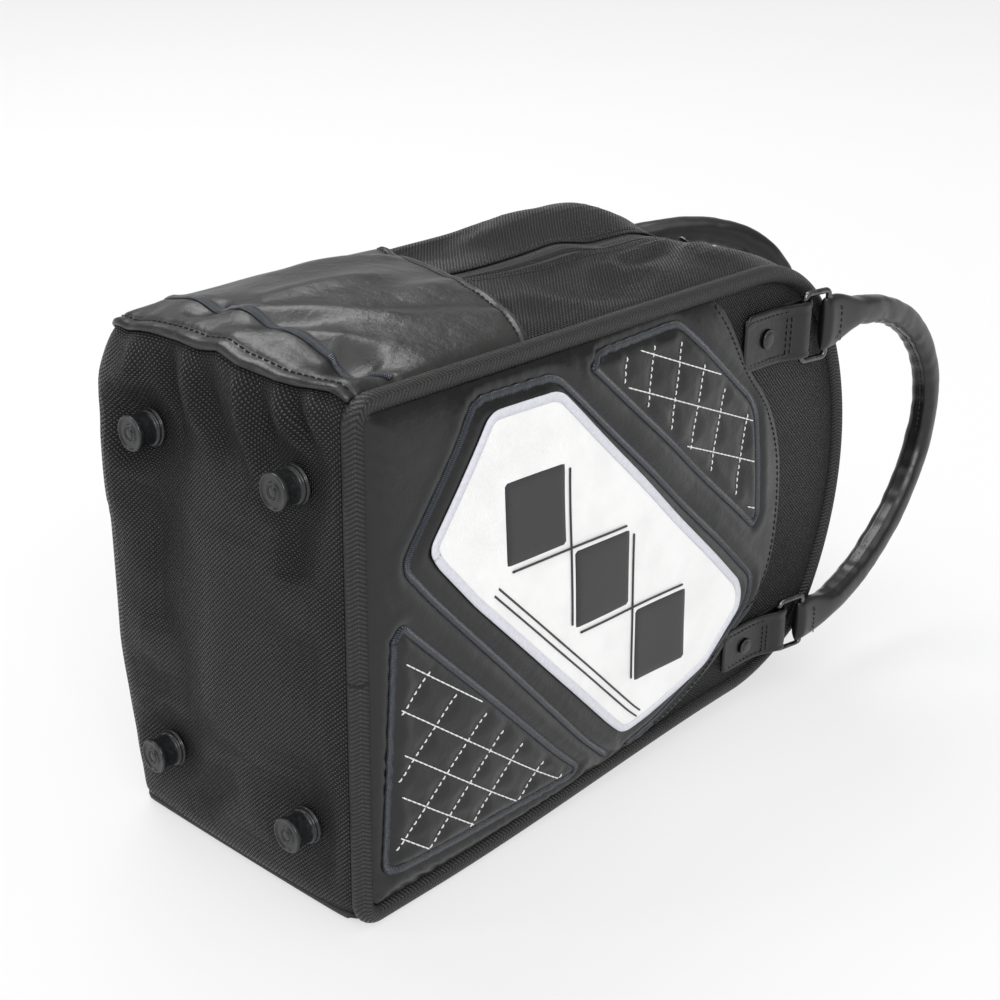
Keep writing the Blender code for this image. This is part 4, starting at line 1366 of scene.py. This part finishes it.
def make_tab(name, bar, outward, z, body, nodes):
    """A leather strap folded round a ring's bar, with its stitches and rivet."""
    line = resample(tab_line(), 0.9)
    across = np.concatenate([[-13.5, -13.2, -12.6], np.linspace(-11.8, 11.8, 15), [12.6, 13.2, 13.5]])
    rows = []
    for x, y in line:
        edge = np.maximum(0, np.abs(across) - 12.6)
        corner = 1.6 * np.clip((x + TAB_REACH - 2) / -2, 0, 1)
        width = 1 - corner / 13.5
        layer = -1 if y < -3 else 1  # the lower layer bulges the other way
        seam = 0.30 * bell(np.abs(across), 12.2, 1.2) - 0.25 * bell(np.abs(across), 10.2, 0.6)
        rise = y + seam * layer
        rows.append(np.stack([
            np.full_like(across, bar[0] + x), bar[1] + outward * (rise - edge * 0.25 * layer),
            z + across * width], 1))
    points = np.concatenate(rows)
    cloth = np.stack([np.repeat(np.arange(len(line)) * 0.9, len(across)), np.tile(across, len(line)),
                      np.zeros(len(points))], 1)
    faces = grid_faces(len(line), len(across))
    if outward < 0:
        faces = [tuple(reversed(f)) for f in faces]
    points, faces, cloth = thicken(points, faces, 1.7, cloth, 0.5)
    finish_piece(name, points, faces, cloth, FRONT_LEATHER, body, "leather", nodes)
    rows = []
    for side in (-1, 1):
        run = np.linspace(-TAB_REACH + 2.5, -9.0, 40)
        top = 0.1 + np.interp(run, *zip(*TAB_TOP))
        rows.append([(bar[0] + x, bar[1] + outward * y, z + side * 10.4) for x, y in zip(run, top)])
    run = np.linspace(-10.4, 10.4, 24)
    for x, y in ((-10.5, 0.7), (-13.0, -0.2)):
        rows.append([(bar[0] + x, bar[1] + outward * y, z + w) for w in run])
    up = (0.0, float(outward), 0.0)
    parts = [stitches(np.array(r), np.tile(up, (len(r), 1)), 2.2, 0.9, 0.3, 0.25) for r in rows]
    finish_piece(name + "_stitches", *joined(parts), DARK_THREAD, body, "leather")
    centre = (bar[0] - RIVET_BACK, bar[1] - outward * 2.15, z)
    head = [(-BAR_LIFT - 0.8, 1.4), (0.2, 1.4), (0.45, 4.5), (0.75, 4.85), (1.15, 4.95), (1.45, 4.8),
            (1.6, 4.45), (1.55, 4.15), (1.4, 3.95), (1.45, 3.7), (1.75, 3.4), (2.0, 2.7), (2.15, 1.8),
            (2.2, 0.8), (2.2, 0.0)]
    parts = [turned(head, centre, (0.0, float(outward), 0.0), 48)]
    washer = [(-BAR_LIFT - 2.4, 0.0), (-BAR_LIFT - 2.4, 3.6), (-BAR_LIFT - 2.1, 4.0), (-BAR_LIFT - 1.1, 4.0),
              (-BAR_LIFT - 1.0, 3.8), (-BAR_LIFT - 1.0, 0.0)]
    parts.append(turned(washer, centre, (0.0, float(outward), 0.0), 32))
    finish_piece(name.replace("tab", "rivet_cap"), *joined(parts), RIVET, body, "rivet_cap",
                 [n.replace("tab", "rivet") for n in nodes])


def make_ring(name, bar, turn_deg, z_offset, body, node):
    """A square ring of wire with rounded corners, hung from a bar."""
    bend = 2.5
    near, far, side = bend, RING_REACH - bend, RING_HALF - bend
    corners = ((near, -side, -pi / 2, -pi), (near, side, pi, pi / 2),
               (far, side, pi / 2, 0), (far, -side, 0, -pi / 2))
    path = np.concatenate([arc(x, z, bend, start, end, 8) for x, z, start, end in corners])
    path = resample(path, 1.2, closed=True)
    path = np.stack([path[:, 0], np.zeros(len(path)), path[:, 1] + z_offset], 1)
    turn = radians(turn_deg)
    ups = np.tile((-sin(turn), cos(turn), 0.0), (len(path), 1))
    path = in_frame(path, bar, turn_deg)
    parts = sweep(path, ups, BAR_R, BAR_R, 18, closed=True)
    finish_piece(name, *parts, GUNMETAL, body, "gunmetal", [node])


HANDLE_R, HANDLE_LEG, HANDLE_ARC = 6.75, 8.0, 118.0


def handle_line():
    """(x, z, half width, half thickness) along the handle, in its own frame."""
    t = np.linspace(0, pi / 2, 60)
    legs_x = np.array([-3.97, -3.75, -3.3, -2.6, -1.6, -0.5, 1.0, 2.5, 4.0, 6.0])
    x = np.concatenate([legs_x, HANDLE_LEG + HANDLE_ARC * np.sin(t)])
    z = np.concatenate([np.full(len(legs_x), TAB_Z), TAB_Z * np.cos(t)])
    half = resample(np.stack([x, z], 1)[len(legs_x) - 2:], 1.6)
    x = np.concatenate([legs_x[:-2], half[:, 0]])
    z = np.concatenate([np.full(len(legs_x) - 2, TAB_Z), half[:, 1]])
    x = np.concatenate([x, x[-2::-1]])
    z = np.concatenate([z, -z[-2::-1]])
    share = smooth(x, 3.0, 32.0)
    wide = 13.0 + (HANDLE_R - 13.0) * share
    thick = 4.0 + (HANDLE_R - 4.0) * share
    thick = np.where(x < 0, np.sqrt(np.maximum(4.0**2 - x**2, 0.15)), thick)
    return x, z, wide, thick


def make_handle(name, bar, ring_deg, handle_deg, rise, body, node):
    """A leather tube with flat ends that go round the rings; rise tips its middle up along z."""
    x, z, wide, thick = handle_line()
    path = np.stack([x, np.zeros_like(x), z], 1)
    sides = 36
    turns = circle(sides)
    square = 2.6  # a superellipse, flatter than a circle
    a = np.sign(np.cos(turns)) * np.abs(np.cos(turns)) ** (2 / square)
    b = np.sign(np.sin(turns)) * np.abs(np.sin(turns)) ** (2 / square)
    along = np.gradient(path, axis=0)
    along /= np.linalg.norm(along, axis=1)[:, None]
    up = np.array([0.0, 1.0, 0.0])
    side = np.cross(along, up)
    travelled = travel(path)
    points, cloth = [], []
    for i, here in enumerate(path):
        tube = float(smooth(np.array(x[i]), 12.0, 34.0))
        ring = here + side[i] * (a * wide[i])[:, None] + up * (b * thick[i])[:, None]
        out = side[i] * a[:, None] + up * b[:, None]
        out /= np.linalg.norm(out, axis=1)[:, None]
        spots = np.stack([np.full(sides, travelled[i]), a * 10, b * 10], 1)
        crease = noise_at(spots * (1.0, 0.8, 0.8), 9.0, 7.0) * 0.34 + noise_at(spots, 3.6, 2.0) * 0.10
        bend_in = np.clip(-a if abs(along[i][2]) < 2 else a, 0, 1)
        ripples = np.sin(travelled[i] / 2.1 + 2.5 * noise.noise(Vector((travelled[i] / 14, 1, 2)))) * bend_in
        seam = -0.55 * np.exp(-(((turns - pi) / 0.10) ** 2))
        seam += 0.30 * np.exp(-((np.abs(turns - pi) - 0.28) / 0.14) ** 2)
        ring += out * (tube * (crease + 0.22 * ripples) + tube * seam)[:, None]
        points.append(ring)
        cloth.append(np.stack([np.full(sides, travelled[i]), turns * wide[i], np.zeros(sides)], 1))
    points, cloth = np.concatenate(points), np.concatenate(cloth)
    faces = tube_faces(len(path), sides)
    origin = in_frame([(RING_REACH, 0, 0)], bar, ring_deg)[0]

    def placed(spots):
        spots = np.array(spots, float)
        spots[:, 2] += rise * np.maximum(spots[:, 0], 0)
        return in_frame(spots, origin, handle_deg)

    obj = make_object(name, points, faces, cloth, HANDLE_LEATHER)
    eyes = []
    for z_end in (TAB_Z, -TAB_Z):
        rod = turned([(-18, BAR_R + 0.35), (18, BAR_R + 0.35)], (0, 0, z_end), (0.0, 0.0, 1.0), 24)
        eyes.append(rod)
    cutter = make_object(name + "_eyes", *joined(eyes), HANDLE_LEATHER)
    modifier = obj.modifiers.new("Eyes", "BOOLEAN")
    modifier.operation = "DIFFERENCE"
    modifier.solver = "EXACT"
    modifier.object = cutter
    bpy.context.view_layer.update()
    cut = bpy.data.meshes.new_from_object(obj.evaluated_get(bpy.context.evaluated_depsgraph_get()))
    obj.modifiers.clear()
    obj.data = cut
    for vertex in cut.vertices:
        vertex.co = world(placed([(np.array(vertex.co) - ORIGIN) / MM]))[0]
    bpy.data.objects.remove(cutter)
    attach(obj, body)
    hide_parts(node)

    # Seam thread down the inside of the tube, and the stitching across its flat ends
    rows = []
    tube = np.abs(z) < TAB_Z - 8
    seam_path = path[tube] - side[tube] * (wide[tube][:, None] - 0.35)
    rows.append((seam_path, -side[tube]))
    count = 22
    w = np.linspace(-10.5, 10.5, count)
    for end in (1, -1):
        for face in (1, -1):
            row = np.stack([np.full(count, 7.5), np.full(count, face * 4.15), end * TAB_Z + w], 1)
            rows.append((row, np.tile((0.0, float(face), 0.0), (count, 1))))
    parts = [stitches(p, u, 2.2, 0.9, 0.28, 0.22) for p, u in rows]
    points, faces, cloth = joined(parts)
    finish_piece(name + "_stitches", placed(points), faces, cloth, DARK_THREAD, body, "leather")


def radial_frame(points, x, z, turn_deg):
    """From (out along the radius, across y, along the track) to the bag's frame."""
    turn = radians(turn_deg)
    points = np.asarray(points, float)
    out, across, along = points.T
    return np.stack([x + out * cos(turn) - along * sin(turn), across,
                     z + out * sin(turn) + along * cos(turn)], 1)


def make_sliders():
    tracks = (
        ("upper", SHOULDER_X, SHOULDER_Z, SHOULDER_R, 46.5, 1),
        ("crown", CROWN_X, MID_Z, CROWN_R, 34.6, -1),
    )
    for name, x, z, radius, turn_deg, side in tracks:
        face = radius + 0.6
        shield = [(-4.2, 4.6), (-3.2, 5.5), (3.2, 5.5), (4.2, 4.6), (4.3, 1.0), (3.4, -2.5), (2.9, -5.2),
                  (2.2, -5.5), (-2.2, -5.5), (-2.9, -5.2), (-3.4, -2.5), (-4.3, 1.0)]
        shield = [(a, -side * b) for a, b in shield]
        if side > 0:
            shield = shield[::-1]
        plate = on_edge(bevelled(shield, face, face + 1.7, 0.45))
        arch = [(1.5, -4.4), (3.2, -4.3), (4.0, -3.4), (4.1, -1.0), (3.95, 1.8), (3.5, 2.9),
                (2.7, 3.3), (1.5, 3.3)]
        arch = np.array([(face + a, 0.0, -side * b) for a, b in rounded(arch, 0.8)])
        ups = np.tile((0.0, 1.0, 0.0), (len(arch), 1))
        profile = np.array([(-1, -0.8), (-0.8, -1), (0.8, -1), (1, -0.8), (1, 0.8), (0.8, 1),
                            (-0.8, 1), (-1, 0.8)])
        bridge = sweep(arch, ups, 0.5, 1.25, profile=profile)
        walls = []
        for edge in (-1, 1):
            near, far = edge * 3.9 - 0.35, edge * 3.9 + 0.35
            rail = bevelled([(near, -4.4), (far, -4.4), (far, 4.4), (near, 4.4)],
                            face - 1.4, face + 0.4, 0.15, 2)
            walls.append(on_edge(rail))
        points, faces, cloth = joined([plate, bridge] + walls)
        points[:, 1] += ZIP_Y
        finish_piece(f"slider_{name}", radial_frame(points, x, z, turn_deg), faces, cloth, GUNMETAL,
                     f"{name}_slider", "gunmetal", [f"zip_slider_{name}"])

        pivot = face + 2.4
        outline = [(-3.0, 3.4), (-2.85, 2.2), (-2.2, 1.4), (2.2, 1.4), (2.85, 2.2), (3.0, 3.4), (3.0, 6.6),
                   (2.5, 8.2), (2.35, 15.6), (1.9, 17.3), (0.9, 18.0), (-0.9, 18.0), (-1.9, 17.3),
                   (-2.35, 15.6), (-2.5, 8.2), (-3.0, 6.6)]
        rails = []
        for edge in (-1, 1):
            rod = np.array([(0.0, edge * 2.6, 0.0), (0.0, edge * 2.6, 2.0), (0.0, edge * 2.55, 5.2)])
            rails.append(sweep(rod, np.tile((1.0, 0, 0), (3, 1)), 0.45, 0.45, 10))
        bar = np.array([(0.0, -2.6, 0.0), (0.0, 0.0, 0.0), (0.0, 2.6, 0.0)])
        rails.append(sweep(bar, np.tile((1.0, 0, 0), (3, 1)), 0.42, 0.42, 10))
        held = [p for p in outline if p[1] > 4] + [(-2.9, 4.6), (2.9, 4.6)]
        rails.append(on_edge(bevelled(rounded(held, 0.5, True), -0.42, 0.42, 0.2, 2)))
        points, faces, cloth = joined(rails)
        points = points * (1, 1, side) + (pivot, ZIP_Y, 0)
        if side < 0:
            faces = [tuple(reversed(f)) for f in faces]
        finish_piece(f"pull_{name}", radial_frame(points, x, z, turn_deg), faces, cloth, GUNMETAL,
                     f"{name}_pull", "gunmetal", [f"zip_pull_{name}"])


def make_hardware():
    make_feet()
    for end, sign in (("upper", 1), ("floor", -1)):
        z = MID_Z + sign * TAB_Z
        make_tab(f"front_tab_strap_{end}", FRONT_BAR, -1, z, "front_flap", [f"front_tab_{end}"])
        make_tab(f"back_tab_strap_{end}", BACK_BAR, 1, z, "shell", [f"back_tab_{end}"])
        make_ring(f"front_ring_wire_{end}", FRONT_BAR, FRONT_TURN, sign * TAB_Z, "front_rings",
                  f"front_ring_{end}")
        make_ring(f"back_ring_wire_{end}", BACK_BAR, BACK_TURN, sign * TAB_Z, "back_rings",
                  f"back_ring_{end}")
    make_handle("front_handle_leather", FRONT_BAR, FRONT_TURN, 4.5, 0.03, "front_handle", "front_handle")
    make_handle("back_handle_leather", BACK_BAR, BACK_TURN, -28.0, 0.30, "back_handle", "back_handle")
    make_sliders()
    looks = {"base_board": BOARD}
    for number in range(1, 5):
        looks[f"foot_washer_{number}"] = looks[f"foot_screw_{number}"] = STEEL
    for node, look in looks.items():
        frame["nodes"][node].data.materials.clear()
        frame["nodes"][node].data.materials.append(look)


# ---------------------------------------------------------------- studio

LENS = 62.16
CAMERA_PLACE = (-392.0, -430.0, 435.0)
CAMERA_ANGLES = (-47.68, 22.68, 0.81)  # azimuth, elevation and roll, in degrees


def make_studio():
    floor = bpy.data.meshes.new("floor")
    # A flat floor that curves up into a pale backdrop far off: (radius, height) in metres
    rim = [(6.0, 0.0), (13.0, 0.0), (16.0, 0.15), (18.0, 0.6), (19.3, 1.4), (20.0, 2.5), (20.3, 3.6)]
    count = 96
    turns = circle(count)
    spots = [(r * cos(t), r * sin(t), z) for r, z in rim for t in turns]
    faces = [tuple(range(count))]
    for i in range(len(rim) - 1):
        for k in range(count):
            m = (k + 1) % count
            faces.append((i * count + k, (i + 1) * count + k, (i + 1) * count + m, i * count + m))
    floor.from_pydata(spots, [], faces)
    floor.shade_smooth()
    floor.materials.append(floor_look())
    floor = bpy.data.objects.new("floor", floor)
    bpy.context.scene.collection.objects.link(floor)
    floor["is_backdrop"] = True

    studio = bpy.data.worlds.new("studio")
    bpy.context.scene.world = studio
    studio.use_nodes = True
    nodes, links = studio.node_tree.nodes, studio.node_tree.links
    shade = nodes["Background"]
    where = nodes.new("ShaderNodeTexCoord")
    split = nodes.new("ShaderNodeSeparateXYZ")
    links.new(where.outputs["Generated"], split.inputs[0])
    ramp = nodes.new("ShaderNodeMapRange")
    ramp.inputs["From Min"].default_value = 0.0
    ramp.inputs["From Max"].default_value = 0.9
    ramp.inputs["To Min"].default_value = 0.13
    ramp.inputs["To Max"].default_value = 0.50
    links.new(split.outputs["Z"], ramp.inputs["Value"])
    links.new(ramp.outputs[0], shade.inputs["Strength"])
    shade.inputs["Color"].default_value = (1.0, 0.995, 0.99, 1.0)

    for name, place, size, power in (
        ("overhead", (0.4, 1.3, 2.4), (1.6, 1.2), 40.0),
        ("left", (-2.0, 1.5, 1.2), (0.5, 1.2), 9.0),
        ("front", (-1.5, -2.4, 2.0), (1.0, 1.0), 40.0),
    ):
        light = bpy.data.lights.new(name, "AREA")
        light.shape = "RECTANGLE"
        light.size, light.size_y = size
        light.energy = power
        lamp = bpy.data.objects.new(name, light)
        lamp.location = place
        aim = Vector((0, 0, 0.1)) - Vector(place)
        lamp.rotation_euler = aim.to_track_quat("-Z", "Y").to_euler()
        bpy.context.scene.collection.objects.link(lamp)
    sun = bpy.data.lights.new("sky", "SUN")
    sun.energy, sun.angle = 1.55, radians(80)
    lamp = bpy.data.objects.new("sky", sun)
    lamp.rotation_euler = Vector((0.3, 0.45, -1.0)).to_track_quat("-Z", "Y").to_euler()
    bpy.context.scene.collection.objects.link(lamp)

    data = bpy.data.cameras.new("camera")
    data.sensor_width, data.lens = 36.0, LENS
    camera = bpy.data.objects.new("camera", data)
    azimuth, elevation, roll = (radians(angle) for angle in CAMERA_ANGLES)
    away = Vector((sin(azimuth) * cos(elevation), -cos(azimuth) * cos(elevation), sin(elevation)))
    right = (-away).cross(Vector((0, 0, 1))).normalized()
    up = right.cross(-away)
    turned_right = right * cos(roll) + up * sin(roll)
    turned_up = -right * sin(roll) + up * cos(roll)
    camera.matrix_world = Matrix((turned_right, turned_up, away)).transposed().to_4x4()
    camera.location = Vector(world(CAMERA_PLACE).tolist())
    bpy.context.scene.collection.objects.link(camera)
    bpy.context.scene.camera = camera
    bpy.context.scene.view_settings.view_transform = "Standard"
    bpy.context.scene.view_settings.look = "None"


make_studio()
settle_cloth()
make_walls()
make_wall_trim()
make_back()
make_zip()
make_front()
make_patch()
make_welt()
make_hardware()

boxes = {"cad": cad_box, "visual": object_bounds()}
{k: [[float(c) for c in corner] for corner in b] for k, b in boxes.items()}
